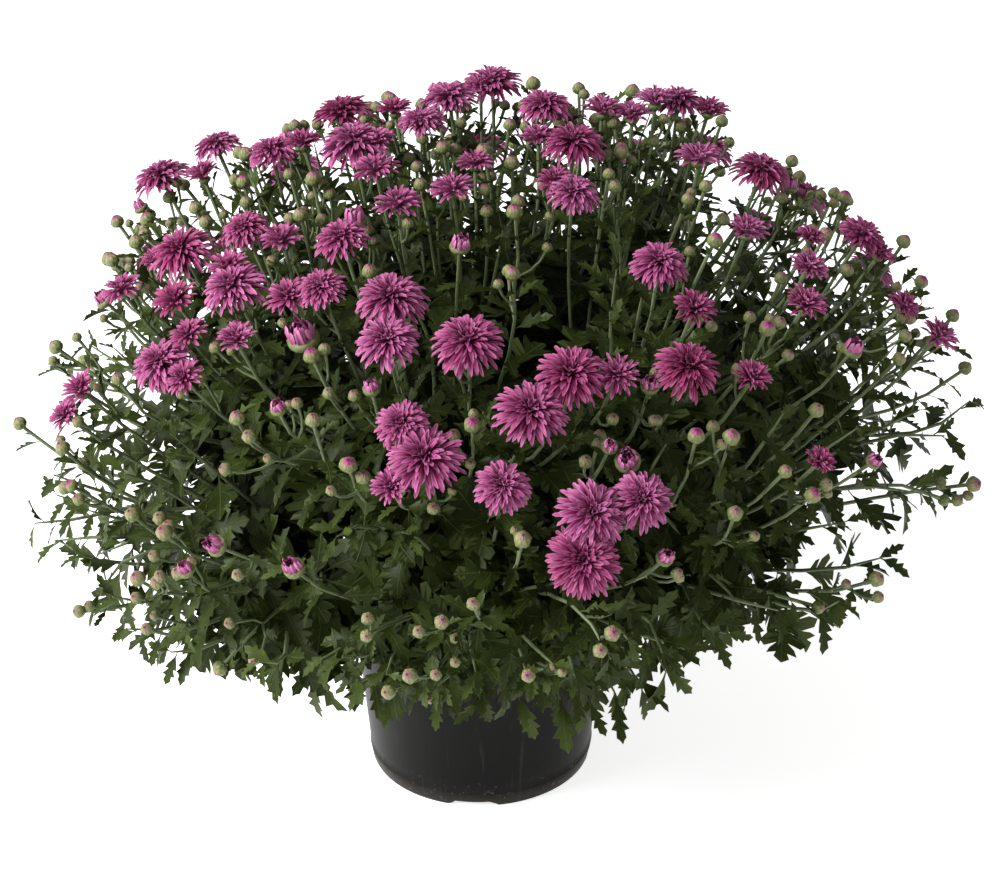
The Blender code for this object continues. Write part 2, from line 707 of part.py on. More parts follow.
def add_stalk_leaves(plant, rng):
    """Leaves on the stalks, in the open growth between the inner growth and the blooms."""
    for stem, carriers in enumerate(plant.stalks):
        left = STALK_LEAVES_PER_STEM
        for number in rng.permutation(len(carriers)):
            carrier, low, high = carriers[number]
            levels = dome_level(np.array([low, high]))
            share = (rng.uniform(*STALK_LEAF_LEVELS) - levels[0]) / (levels[1] - levels[0])
            place = low + np.clip(share, *STALK_LEAF_SHARES) * (high - low)
            across, over, axis = frame_along(high - low)
            for turn in rng.uniform(0, 2 * math.pi, STALK_LEAF_TRIES):
                aside, ahead = STALK_LEAF_WAY
                way = aside * (math.cos(turn) * across + math.sin(turn) * over) + ahead * axis
                length = rng.uniform(*STALK_LEAF_LENGTHS)
                leaf = leaf_solid(place, way, axis + STALK_LEAF_RISE * UP, length)
                if left and plant.add_if_free(
                    stem, "stalk leaf", number, leaf, lambda name: name == (stem, "stalk", carrier)
                ):
                    left -= 1
                    break


def outer_facets(core):
    """The corners, normals and shares of area of a core's triangles, its inward side mostly left out."""
    points, faces = core
    corners = points[np.array(faces)]
    normals = np.cross(corners[:, 1] - corners[:, 0], corners[:, 2] - corners[:, 0])
    areas = np.linalg.norm(normals, axis=1)
    normals = normals / areas[:, None]
    outward = unit(corners.mean(axis=1) - GROWTH_HEART * UP)
    shares = areas * np.clip((normals * outward).sum(axis=1) + INWARD_SHARE, 0, None)
    return corners, normals, shares / shares.sum()


def add_leaves(plant, cores, rng):
    """Leaves that stand out of each stem's inner growth, turned up from it until they clear the rest."""
    for stem, core in enumerate(cores):
        corners, normals, shares = outer_facets(core)
        left = LEAVES_PER_STEM
        for number in range(LEAF_TRIES):
            pick = rng.choice(len(corners), p=shares)
            normal = normals[pick]
            root = rng.dirichlet(np.full(3, LEAF_ROOT_EVENNESS)) @ corners[pick] - LEAF_SINK * normal
            flow = root - grow(plant.stems[stem], LEAF_FLOW)
            along = unit(flow - (flow @ normal) * normal)
            spin = rng.uniform(-LEAF_SPIN, LEAF_SPIN)
            along = math.cos(spin) * along + math.sin(spin) * np.cross(normal, along)
            low = np.interp(-root[2], -np.array(LEAF_HANG_HEIGHTS), (0, 1))
            share = (1 - LEAF_HANG_SHARE) * rng.uniform() + LEAF_HANG_SHARE * low
            length = np.interp(share, (0, 1), LEAF_LENGTHS)
            for degrees in LEAF_TURNS:
                angle = math.radians(degrees)
                way = math.cos(angle) * along + math.sin(angle) * normal - LEAF_HANG * low * UP
                leaf = leaf_solid(root, way, normal + LEAF_FACE_RISE * UP, length)
                fits = leaf[0][:, 2].min() > LEAF_LOWEST and dome_level(leaf[0]).max() < LEAF_FURTHEST
                rooted = plant.depth(stem, root) > 0.5 * LEAF_SINK
                if fits and rooted and plant.add_if_free(
                    stem, "leaf", number, leaf, lambda name: name == (stem, "core", 0)
                ):
                    left -= 1
                    break
            if not left:
                break


def principled(name, colour, roughness):
    """A material of one colour."""
    material = bpy.data.materials.new(name)
    material.use_nodes = True
    shader = material.node_tree.nodes["Principled BSDF"]
    shader.inputs["Base Color"].default_value = (*colour, 1)
    shader.inputs["Roughness"].default_value = roughness
    shader.inputs["Metallic"].default_value = 0
    return material


def new_object(name, solid, collection, material=None):
    """An object from points and faces, put in a collection."""
    points, faces = solid
    mesh = bpy.data.meshes.new(name)
    mesh.from_pydata([tuple(point) for point in points], [], faces)
    mesh.update()
    if material:
        mesh.materials.append(material)
    made = bpy.data.objects.new(name, mesh)
    collection.objects.link(made)
    return made


def new_collection(name):
    """An empty collection in the scene."""
    made = bpy.data.collections.new(name)
    bpy.context.scene.collection.children.link(made)
    return made


def apply_modifiers(target):
    """The object's mesh as its modifiers leave it."""
    graph = bpy.context.evaluated_depsgraph_get()
    mesh = bpy.data.meshes.new_from_object(target.evaluated_get(graph))
    target.modifiers.clear()
    target.data = mesh


def joined(name, solids, collection, materials):
    """One body from solids that run into each other. Where that doesn't close, they are nudged first."""
    if len(solids) == 1:
        new_object(name, solids[0], collection, materials[0])
        return
    for attempt in range(MOST_NUDGES):
        nudges = NUDGE * attempt * np.sin(np.arange(3 * len(solids))).reshape(-1, 3)
        moved = [(points + nudge, faces) for (points, faces), nudge in zip(solids, nudges)]
        body = united(name, moved, collection, materials)
        if keep_largest(body, SPLITS[attempt % len(SPLITS)]):
            return
        bpy.data.objects.remove(body, do_unlink=True)
    raise RuntimeError(f"{name} doesn't close as one body")


def united(name, solids, collection, materials):
    """A Boolean union of the first solid with a collection that holds the rest."""
    body = new_object(name, solids[0], collection, materials[0])
    repeats = new_collection(name + "_repeats")
    for number, (solid, material) in enumerate(zip(solids[1:], materials[1:])):
        new_object(f"{name}_repeat_{number}", solid, repeats, material)
    union = body.modifiers.new("Join", "BOOLEAN")
    union.operation = "UNION"
    union.operand_type = "COLLECTION"
    union.collection = repeats
    union.solver = "MANIFOLD"
    union.material_mode = "TRANSFER"
    bpy.context.view_layer.update()
    apply_modifiers(body)
    for repeat in list(repeats.objects):
        bpy.data.objects.remove(repeat, do_unlink=True)
    bpy.data.collections.remove(repeats)
    return body


def drop_slivers(mesh):
    """Welds points nearer than SLIVER, and drops the faces that this leaves without area, or back to back."""
    welds = bmesh.ops.find_doubles(mesh, verts=mesh.verts, dist=SLIVER)["targetmap"]
    kept = {}
    for face in mesh.faces:
        corners = [welds.get(corner, corner) for corner in face.verts]
        names = frozenset(corners)
        if len(names) == len(corners):
            kept.setdefault(names, []).append((corners, face.material_index))
    bmesh.ops.delete(mesh, geom=list(mesh.faces), context="FACES_ONLY")
    for sides in kept.values():
        if len(sides) % 2:
            corners, slot = sides[0]
            mesh.faces.new(corners).material_index = slot
    bmesh.ops.delete(mesh, geom=[edge for edge in mesh.edges if not edge.link_faces], context="EDGES")
    bmesh.ops.delete(mesh, geom=[point for point in mesh.verts if not point.link_faces], context="VERTS")


def skins_of(mesh):
    """The mesh's faces, as sets that hang together across edges that only two faces share."""
    left = set(mesh.faces)
    skins = []
    while left:
        skin, front = set(), [left.pop()]
        while front:
            face = front.pop()
            skin.add(face)
            sides = [side for side in face.edges if len(side.link_faces) == 2]
            reached = {other for side in sides for other in side.link_faces} & left
            left -= reached
            front += reached
        skins.append(skin)
    return skins


def keep_largest(body, method):
    """Drops loose scraps and sealed hollows: the largest skin stays. Tells whether it closes."""
    mesh = bmesh.new()
    mesh.from_mesh(body.data)
    bmesh.ops.triangulate(mesh, faces=mesh.faces, ngon_method=method)
    drop_slivers(mesh)
    largest = max(skins_of(mesh), key=lambda skin: sum(face.calc_area() for face in skin))
    bmesh.ops.delete(mesh, geom=[face for face in mesh.faces if face not in largest], context="FACES")
    closed = all(len(side.link_faces) == 2 for side in mesh.edges)
    mesh.to_mesh(body.data)
    mesh.free()
    return closed


def wall_radius(height):
    """The pot wall's outer radius, which widens evenly from foot to mouth."""
    return POT_FOOT_RADIUS + (POT_MOUTH_RADIUS - POT_FOOT_RADIUS) * height / POT_HEIGHT


def pot_profile():
    """The pot's half section: down its outer side, in along the underside, and back up inside.

    The corners at the rim, the foot and the floor are cut back by a few tenths of a millimetre to 3 mm."""
    rim_foot = POT_HEIGHT - RIM_BAND
    foot_in = POT_FOOT_RADIUS - FOOT_RING
    floor = CHANNEL_RISE + POT_WALL
    return (
        (RIM_RADIUS - 0.0025, POT_HEIGHT),
        (RIM_RADIUS, POT_HEIGHT - 0.002),
        (RIM_RADIUS - 0.0006, rim_foot),
        (wall_radius(rim_foot), rim_foot - 0.002),
        (wall_radius(BASE_BAND), BASE_BAND + BASE_BAND_STEP),
        (wall_radius(BASE_BAND) + BASE_BAND_STEP, BASE_BAND),
        (POT_FOOT_RADIUS, 0.0015),
        (POT_FOOT_RADIUS - 0.0015, 0.0),
        (foot_in, 0.0),
        (foot_in - 0.002, CHANNEL_RISE),
        (CENTRE_PAD + 0.003, CHANNEL_RISE),
        (CENTRE_PAD, 0.0),
        (0.0, 0.0),
        (0.0, POT_WALL),
        (CENTRE_PAD - 0.001, POT_WALL),
        (CENTRE_PAD + 0.002, floor),
        (wall_radius(floor) - POT_WALL - 0.001, floor),
        (wall_radius(rim_foot) - POT_WALL, rim_foot),
        (RIM_RADIUS - 0.0040, POT_HEIGHT - 0.003),
    )


def hide_helper(helper):
    """Marks a cutter as a helper, which isn't part of the object."""
    helper.hide_render = True
    helper.display_type = "WIRE"


def cut(target, cutter, name):
    """Takes a cutter's shape out of an object."""
    hide_helper(cutter)
    boolean = target.modifiers.new(name, "BOOLEAN")
    boolean.operation = "DIFFERENCE"
    boolean.object = cutter


def mesh_object(name, mesh, collection):
    """An object from a bmesh, put in a collection. The bmesh is freed."""
    data = bpy.data.meshes.new(name)
    mesh.to_mesh(data)
    mesh.free()
    made = bpy.data.objects.new(name, data)
    collection.objects.link(made)
    return made


def drill(mesh, place, radius, sides, depth):
    """Adds a closed cylinder, centred on a place, to a bmesh of cutters."""
    radii = {"radius1": radius, "radius2": radius}
    made = bmesh.ops.create_cone(mesh, cap_ends=True, segments=sides, depth=depth, **radii)
    bmesh.ops.translate(mesh, verts=made["verts"], vec=place)


def round_places(count, first, radius, height):
    """Places spread evenly on a circle about the upright axis."""
    angles = first + 2 * math.pi * np.arange(count) / count
    return np.stack([radius * np.cos(angles), radius * np.sin(angles), np.full(count, height)], axis=1)


def notch_cutter(cutters):
    """The wedges that cut the foot ring: each has a flat top and sloped ends."""
    half = NOTCH_WIDTH / 2
    foot, top = half + NOTCH_BELOW, half - NOTCH_SLOPE
    section = ((-foot, -NOTCH_BELOW), (foot, -NOTCH_BELOW), (top, NOTCH_RISE), (-top, NOTCH_RISE))
    reaches = (POT_FOOT_RADIUS - 2 * FOOT_RING, POT_FOOT_RADIUS + FOOT_RING)
    points, faces = np.zeros((0, 3)), []
    for out in round_places(NOTCH_COUNT, FIRST_NOTCH_ANGLE, 1.0, 0.0):
        side = np.cross(UP, out)
        rings = [[reach * out + x * side + z * UP for x, z in section] for reach in reaches]
        wedge, wedge_faces = rings_closed(rings)
        faces += [tuple(len(points) + k for k in face) for face in wedge_faces]
        points = np.vstack([points, wedge])
    return new_object("Notch_cutter", (points, faces), cutters)


def drain_cutter(cutters):
    """The round drain holes in the raised part of the floor, midway between the notches."""
    mesh = bmesh.new()
    first = FIRST_NOTCH_ANGLE + math.pi / DRAIN_COUNT
    for place in round_places(DRAIN_COUNT, first, DRAIN_CIRCLE, CHANNEL_RISE):
        drill(mesh, place, DRAIN_RADIUS, DRAIN_SIDES, 3 * CHANNEL_RISE)
    return mesh_object("Drain_cutter", mesh, cutters)


def make_pot(collection, cutters):
    """The pot: its half section turned about the upright axis, its foot notched and its floor drilled."""
    profile = pot_profile()
    count = len(profile)
    on_axis = [i for i, (x, _) in enumerate(profile) if x == 0]
    mesh = bpy.data.meshes.new("pot")
    # The two points on the axis aren't joined, because that edge would turn into no face.
    edges = [(i, (i + 1) % count) for i in range(count) if i != on_axis[0]]
    mesh.from_pydata([(x, 0, z) for x, z in profile], edges, [])
    mesh.materials.append(principled("Pot_plastic", *POT_FINISH))
    pot = bpy.data.objects.new("pot", mesh)
    collection.objects.link(pot)
    turn = pot.modifiers.new("Turn", "SCREW")
    turn.steps = turn.render_steps = POT_SIDES
    turn.use_merge_vertices = True
    turn.merge_threshold = 0.00005
    turn.use_smooth_shade = True
    cut(pot, notch_cutter(cutters), "Foot notches")
    cut(pot, drain_cutter(cutters), "Drain holes")


def make_soil(collection, cutters, stems):
    """The soil: it fills the pot to a lumpy top, with a plain hole for each stem."""
    angles = 2 * math.pi * np.arange(SOIL_SIDES) / SOIL_SIDES
    circle = np.stack([np.cos(angles), np.sin(angles), 0 * angles], axis=1)
    floor = CHANNEL_RISE + POT_WALL + SOIL_GAP
    low, high = (wall_radius(z) - POT_WALL - 2 * SOIL_GAP for z in (floor, SOIL_LEVEL))
    rings = [low * circle + floor * UP]
    for share in SOIL_RINGS:
        lumps = SOIL_LUMP * np.sin(SOIL_LUMPS_ROUND * angles + SOIL_LUMPS_TURN * share) * (share < 1)
        rings.append(high * share * circle + (SOIL_LEVEL + lumps)[:, None] * UP)
    material = principled("Soil", *SOIL_FINISH)
    soil = new_object("soil", rings_closed(rings, end=SOIL_LEVEL * UP), collection, material)
    mesh = bmesh.new()
    for direction in stems:
        drill(mesh, grow(direction, 0.0), HOLE_RADIUS, HOLE_SIDES, 2 * HOLE_DEPTH)
    cut(soil, mesh_object("Stem_hole_cutter", mesh, cutters), "Stem holes")


def pot_obstacle():
    """The outside of the pot as a plain cylinder, which leaves keep off."""
    rings = [round_places(POT_SIDES, 0.0, RIM_RADIUS, height) for height in (0.0, POT_HEIGHT)]
    return rings_closed(rings)


def make_plant(collection, rng):
    """The leafy stems and the blooms: a node for each stem, and one for each bloom or touching bunch."""
    plant = Plant(stem_directions())
    plant.land.add((None, "pot", 0), pot_obstacle())
    blooms = place_blooms(rng)
    heads = []
    for place, axis, radius in blooms:
        petals = int(np.clip(round(radius / BLOOM_PETAL_SPAN), *BLOOM_PETALS))
        heads.append(bloom_solid(place, axis, radius, petals, rng.uniform(0, math.pi)))
    groups = sorted(bunches(heads), key=lambda group: (min(group) >= len(SEEN_BLOOMS), -len(group)))

    cores = []
    for stem in range(len(plant.stems)):
        cores.append(core_solid(stem, plant.stems, rng))
        plant.add(stem, "core", 0, stem_solid(stem, plant.stems))
        plant.add(stem, "core", 0, cores[stem])
        plant.cores.append(bvh(cores[stem]))
    for number, group in enumerate(groups):
        for i in group:
            while not plant.land.free(heads[i], lambda name: name == (None, "bloom", number)):
                heads[i] = (blooms[i][0] + BLOOM_SHRINK * (heads[i][0] - blooms[i][0]), heads[i][1])
            plant.land.add((None, "bloom", number), heads[i])

    add_stalks(plant, blooms, heads, groups)
    add_buds(plant, blooms, rng)
    add_shoots(plant, rng)
    add_skirt(plant, rng)
    add_stalk_leaves(plant, rng)
    add_leaves(plant, cores, rng)

    foliage = principled("Foliage", *FOLIAGE_FINISH)
    petals = principled("Petals", *PETAL_FINISH)
    for number, group in enumerate(groups[:BLOOM_NODES]):
        joined(f"bloom_{number + 1:02d}", [heads[i] for i in group], collection, [petals] * len(group))
    for stem, solids in enumerate(plant.solids):
        colours = [petals if i in plant.pink[stem] else foliage for i in range(len(solids))]
        joined(f"leafy_stem_{stem + 1:02d}", solids, collection, colours)


def main():
    clear_scene()
    collection = new_collection(COLLECTION)
    cutters = new_collection("Cutters")
    make_pot(collection, cutters)
    make_soil(collection, cutters, stem_directions())
    make_plant(collection, np.random.default_rng(SEED))


if __name__ == "__main__":
    main()
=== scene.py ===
"""Dresses the pot chrysanthemum: petals, lobed leaves, buds, stalks, moulded pot and potting soil."""

import math

import bpy
import numpy as np
from bpy.props import FloatProperty, FloatVectorProperty, IntProperty, PointerProperty
from mathutils import Matrix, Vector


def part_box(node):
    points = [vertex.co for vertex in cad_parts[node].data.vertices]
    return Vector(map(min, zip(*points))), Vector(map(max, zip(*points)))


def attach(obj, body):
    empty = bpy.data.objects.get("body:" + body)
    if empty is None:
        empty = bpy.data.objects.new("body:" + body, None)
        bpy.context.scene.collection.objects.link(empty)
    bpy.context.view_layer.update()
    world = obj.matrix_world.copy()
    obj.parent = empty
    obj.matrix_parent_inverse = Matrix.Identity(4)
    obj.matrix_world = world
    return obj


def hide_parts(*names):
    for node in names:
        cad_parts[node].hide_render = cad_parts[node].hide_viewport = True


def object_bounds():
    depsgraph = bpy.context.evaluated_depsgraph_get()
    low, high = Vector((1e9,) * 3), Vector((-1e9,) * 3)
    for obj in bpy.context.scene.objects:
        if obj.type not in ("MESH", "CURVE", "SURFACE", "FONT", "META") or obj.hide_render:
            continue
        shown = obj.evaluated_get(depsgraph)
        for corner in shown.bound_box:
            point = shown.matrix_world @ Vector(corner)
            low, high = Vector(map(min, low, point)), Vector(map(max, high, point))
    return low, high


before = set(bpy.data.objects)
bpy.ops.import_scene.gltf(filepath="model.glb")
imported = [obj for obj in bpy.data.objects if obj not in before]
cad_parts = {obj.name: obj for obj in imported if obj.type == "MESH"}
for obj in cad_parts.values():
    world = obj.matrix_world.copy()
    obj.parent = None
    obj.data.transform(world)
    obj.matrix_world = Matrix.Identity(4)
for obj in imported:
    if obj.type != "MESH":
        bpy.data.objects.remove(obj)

bl_info = {
    "name": "Pot chrysanthemum",
    "version": (1, 0, 0),
    "blender": (4, 5, 0),
    "location": "3D View > Sidebar > Chrysanthemum",
    "description": "Builds a potted chrysanthemum over its solid frame",
    "category": "Add Mesh",
}

CAD_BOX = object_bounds()

# All sizes are in metres and all angles in radians, unless a line says otherwise.
SEED = 24
UP = np.array([0.0, 0.0, 1.0])
FLAT = np.array([1.0, 1.0, 0.0])
FULL_TURN = 2 * math.pi
HALF_MILLIMETRE = 0.0005
SHARP_FOLD = math.radians(75)
SHARP_CORNER = math.radians(40)

# Dome that the blooms stand on, as in the part: a leaning ellipsoid, rounder above its widest level.
DOME_CENTRE = np.array([0.014, 0.005, 0.218])
DOME_HALF_WIDTH = 0.308
DOME_HALF_DEPTH = 0.285
DOME_RISE = 0.222
DOME_DROP = 0.105
DOME_LEAN = math.radians(5)
UPPER_ROUNDNESS = 2.1
LOWER_ROUNDNESS = 1.15

# Main stems. STEM_RINGS holds how many stand in each ring, and in degrees how steeply, and the first angle.
SOIL_LEVEL = 0.120
CROWN_RADIUS = 0.055
ARCH_RADIUS = 0.090
ARCH_LEVEL = 0.205
STEM_RINGS = ((7, 5, 12), (5, 43, 40), (1, 84, 200))
STEM_DEPTH = 0.010

# Blooms: how they are spread and turned, as in the part. Azimuths and elevations are in degrees.
BLOOM_FOOT = -0.26
BLOOM_RISE = 0.5
BLOOM_TILT = 0.12
TOUCH_SHARES = (0.84, 1.14)
TOUCH_TARGETS = (0.74, 1.16)
SETTLE_ROUNDS = 12
SETTLE_STEP = 0.25
HIDDEN_BLOOMS = 14
HIDDEN_AZIMUTHS = (0, 180)
HIDDEN_ELEVATIONS = (4, 75)
HIDDEN_SPACING = 0.054
HIDDEN_TURN = -0.42
HIDDEN_WIDTHS = (0.030, 0.043)
MOST_TRIES = 6000

# Where the photograph was taken from. Its frame is 1000 by 879 pixels, its focal length is in pixels, and the
# sensor's width is in millimetres.
VIEW_TARGET = np.array([0.0147, 0.0, 0.230])
VIEW_DISTANCE = 2.2
VIEW_DOWN = math.radians(29)
VIEW_ROLL = math.radians(-0.67)
VIEW_FOCAL = 3500
VIEW_WIDTH = 1000
VIEW_CENTRE = (500, 439.5)
SIGHT_REACH = 0.5
SIGHT_STEPS = 2001
SENSOR_WIDTH = 36.0

# Open blooms read from the photograph: centre in its pixels, and real width in millimetres.
SEEN_BLOOMS = (
    (168, 177, 39), (212, 151, 32), (204, 178, 26), (271, 154, 32), (348, 117, 39), (354, 146, 45),
    (306, 145, 26), (376, 172, 29), (386, 140, 24), (421, 122, 31), (395, 113, 24), (446, 105, 36),
    (473, 92, 24), (492, 86, 39), (475, 166, 23), (405, 205, 30), (446, 194, 28), (343, 242, 35),
    (242, 235, 31), (281, 242, 28), (188, 258, 43), (156, 264, 22), (231, 270, 28), (234, 296, 41),
    (124, 290, 26), (179, 296, 30), (284, 298, 28), (322, 290, 31), (391, 301, 43), (397, 344, 38),
    (458, 345, 43), (195, 336, 25), (238, 342, 27), (159, 365, 38), (188, 376, 25), (84, 392, 28),
    (67, 417, 23), (402, 425, 32), (438, 463, 46), (391, 490, 26), (494, 478, 33), (548, 109, 34),
    (599, 113, 28), (632, 118, 27), (655, 104, 28), (678, 104, 34), (708, 113, 27), (538, 139, 23),
    (574, 146, 40), (704, 162, 30), (755, 172, 38), (555, 183, 24), (573, 195, 31), (660, 267, 35),
    (746, 234, 26), (810, 239, 20), (860, 239, 32), (878, 256, 22), (808, 269, 25), (804, 307, 28),
    (692, 312, 28), (694, 369, 41), (743, 379, 26), (571, 376, 42), (617, 377, 28), (527, 421, 44),
    (902, 307, 22), (936, 339, 28), (588, 515, 42), (585, 559, 45), (643, 503, 37), (818, 463, 20),
)

# Opening buds with pink tips, read the same way.
SEEN_BUDS = (
    (135, 199, 11), (285, 129, 12), (434, 81, 12), (354, 205, 16), (461, 235, 14), (96, 290, 14),
    (236, 321, 10), (309, 349, 10), (370, 379, 12), (276, 401, 11), (348, 460, 10), (472, 420, 10),
    (67, 482, 8), (206, 541, 15), (287, 560, 15), (792, 176, 12), (718, 234, 10), (652, 377, 13),
    (859, 339, 14), (769, 323, 10), (880, 456, 11), (817, 491, 10), (697, 430, 10), (611, 442, 11),
    (669, 552, 12), (114, 216, 9), (242, 175, 9), (390, 92, 9), (846, 191, 9), (925, 277, 9),
    (957, 310, 9), (297, 321, 22), (180, 563, 12), (627, 453, 17),
)

# Leafy side shoots that reach furthest, read the same way: the pixel of each tip.
SEEN_SHOOTS = (
    (10, 524), (36, 468), (60, 545), (95, 590), (160, 635), (240, 655), (300, 672), (345, 678),
    (385, 685), (430, 690), (480, 688), (530, 692), (575, 690), (622, 685), (665, 675), (700, 655),
    (740, 635), (800, 615), (850, 590), (900, 550), (946, 500), (970, 440), (984, 384), (964, 330),
    (925, 290), (868, 225), (105, 470), (70, 380), (100, 330), (120, 250), (700, 120), (250, 140),
    (560, 670), (640, 660), (200, 170), (800, 190), (420, 110), (570, 100), (640, 125), (310, 120),
    (150, 215), (905, 330), (940, 400), (180, 600), (330, 655),
)

# Leafy shoots that hang over the pot's rim, read the same way, and the upright plane that they hang in.
SEEN_HANGING = (
    (262, 694), (300, 708), (345, 708), (390, 722), (435, 728), (480, 732), (525, 730), (568, 732),
    (600, 734), (628, 728), (655, 716), (682, 700),
)
HANGING_DEPTH = -0.175

# Shoots: how far up the main stem they leave it, how they bend on the way to their end, their radii, and what
# the radius at the end of each kind is multiplied by.
SHOOT_LEAVES_STEM = (0.26, 0.56)
SHOOT_BEND_SHARE = 0.22
SHOOT_NECK_SHARE = 0.32
SHOOT_PULL = 0.9
SHOOT_ROWS = 8
SHOOT_RADII = (0.0017, 0.00095)
SHOOT_FLARES = {"bloom": 1.35, "bud": 1.25, "leaf": 0.45, "hanging": 0.45}
PATH_POINTS = 41

# Buds: how many, their room, radii, elevations on the dome in degrees, way, foot in radii, and share of pink.
BUD_SHOOTS = 120
BUD_SPACING = 0.0195
BUD_TO_BLOOM = 0.005
BUD_RADII = (0.0038, 0.0052)
BUD_ELEVATIONS = (-4, 88)
BUD_RISE = 0.7
BUD_FOOT = 1.8
MOST_BLUSH = 0.7
OPENING_BUD = 0.0055

# Leafy shoots: how many, their room, elevations in degrees, share of low ones, depth, and the way of
# their ends.
LEAF_SHOOTS = 210
LEAF_SHOOT_SPACING = 0.022
LOW_ELEVATIONS = (-40, -2)
HIGH_ELEVATIONS = (-2, 88)
LOW_SHARE = 0.30
SHOOT_SINKS = (-0.002, 0.016)
TIP_RISES = (-0.1, 0.7)
TIP_TILT = 0.3
HANGING_DROPS = (0.5, 1.1)
TIP_ROOM = {"leaf": 0.016, "hanging": 0.020}

# Side buds: radii along the stalk, radii of the buds, share of pink, how far down their shoot they stand, how
# long their stalks are, and one more than the most of them on each kind of shoot.
SIDE_STALK_RADII = (0.0010, 0.0008, 0.0008, 0.0011)
SIDE_BUD_RADII = (0.0028, 0.0045)
SIDE_BUD_BLUSH = 0.35
SIDE_BUD_DOWN = (0.016, 0.052)
SIDE_BUD_REACH = 0.034
SIDE_BUD_LOWEST = 0.3
SIDE_BUD_LIMITS = {"bud": 4, "bloom": 3, "leaf": 0, "hanging": 0}

# Turned green pieces as (rise along their way, width), both in shares of the bud's or bloom's radius.
CUP_PROFILE = ((-0.34, 0.075), (-0.27, 0.16), (-0.18, 0.27), (-0.06, 0.31), (0.0, 0.22))
CUP_EDGE = 3
CUP_SIDES = 16
CUP_SCALLOPS = (8, 0.10)
BUD_PROFILE = (
    (0.0, 0.30), (0.14, 0.62), (0.45, 0.94), (0.95, 1.00), (1.40, 0.78), (1.70, 0.40), (1.84, 0.10),
)
BUD_SIDES = 10
BUD_RIBS = (5, 0.05)
CALYX_PROFILE = ((0.0, 0.30), (0.10, 0.60), (0.30, 0.86), (0.58, 0.90), (0.72, 0.74))
CALYX_SIDES = 12
CALYX_CUP = 0.8

# Main stems as they are drawn: where they stop, their rows and sides, and their radii from foot to top.
STEM_STOPS = 0.60
STEM_ROWS = 12
STEM_SIDES = 8
STEM_RADII = (0.0034, 0.0021)
STALK_SIDES = 6

# Leaf: rows along it as (how far along, half width, how far the edge sweeps on), in shares of its length.
LOBED_ROWS = (
    (0.00, 0.014, 0.0), (0.20, 0.018, 0.0), (0.30, 0.080, 0.02), (0.34, 0.225, 0.10), (0.41, 0.265, 0.13),
    (0.45, 0.080, 0.02), (0.49, 0.270, 0.09), (0.55, 0.375, 0.17), (0.62, 0.290, 0.17), (0.66, 0.090, 0.02),
    (0.70, 0.200, 0.10), (0.76, 0.250, 0.15), (0.82, 0.095, 0.03), (0.89, 0.130, 0.05), (0.95, 0.070, 0.02),
    (1.00, 0.010, 0.0),
)
NARROW_ROWS = (
    (0.00, 0.018, 0.0), (0.16, 0.030, 0.0), (0.32, 0.150, 0.05), (0.42, 0.210, 0.09), (0.50, 0.095, 0.02),
    (0.60, 0.230, 0.11), (0.70, 0.105, 0.03), (0.82, 0.125, 0.06), (0.92, 0.055, 0.01), (1.00, 0.008, 0.0),
)
BRACT_ROWS = (
    (0.00, 0.030, 0.0), (0.18, 0.070, 0.0), (0.40, 0.170, 0.02), (0.64, 0.160, 0.05), (0.84, 0.090, 0.02),
    (1.00, 0.010, 0.0),
)
LEAF_THICKNESS = 0.0005
LEAF_WAVES = 9
LOBED_LEAF = 0.031
NARROW_LEAF = 0.0135

# Leaves along a shoot: their sizes at these distances from its end, where they start and their gaps.
LEAF_DISTANCES = (0.008, 0.030, 0.070, 0.130, 0.210)
LEAF_SIZES = {
    "bloom": (0.25, 0.42, 0.58, 0.84, 1.0),
    "bud": (0.24, 0.42, 0.58, 0.84, 1.0),
    "leaf": (0.34, 0.52, 0.70, 0.92, 1.0),
    "hanging": (0.50, 0.62, 0.78, 0.95, 1.0),
}
LEAF_STARTS = {"bloom": 0.014, "bud": 0.009, "leaf": 0.0, "hanging": 0.0}
LEAF_GAPS = np.linspace(0.45, 2.7, 15)
LEAF_TURN = 2.4
LEAF_JITTER = 0.25
LEAF_SPREAD = (0.80, 1.18)

# Least and most angle between a leaf and its shoot, in degrees, at these distances from the shoot's end.
LEAF_OPENINGS = ((24, 44), (56, 84))
LEAF_OPENING_REACH = (0.0, 0.05)

# How leaves hang between two levels, which way they face, and how far from the dome's middle they may reach.
HANG_LEVELS = (0.195, 0.285)
LEAF_HANG = (0.2, 1.3)
LEAF_FACE_RISE = 0.55
LEAF_FACE_TILT = 0.25
LOW_LEAF_LEVEL = 0.072
OUTER_LEVEL = 0.72
LEAF_FURTHEST = 1.15
LOW_LEAF_FURTHEST = 1.62

# The ageing leaf: its pixel, how near its line of sight a leaf stands, and how far forward.
YELLOW_LEAF = (487, 655)
YELLOW_REACH = 0.0035
YELLOW_DEPTH = -0.12

# Large leaves low on the main stems: where they stand, how long they are beside the others, and how they
# open.
INNER_SHARES = (0.26, 0.70)
INNER_SPREAD = (0.9, 1.25)
INNER_STEP = 0.02
INNER_OPENING = (0.85, 0.5)

# How far each leaf may vary: lowest and highest fold, droop, twist, wave, phase, breadth and sideways curl.
LEAF_SHAPES = ((0.10, 0.00, -0.6, -0.35, 0.0, 0.75, -0.14), (0.75, 0.42, 0.6, 0.35, 6.28, 1.10, 0.14))

# Room that leaves keep: the bowl of a bloom in shares of its radius, the box's spare room, and the pot's.
BOWL_WIDTH = 0.98
BOWL_HEIGHTS = (-0.20, 0.75)
BOX_ROOM = 0.012
POT_ROOM = 0.001

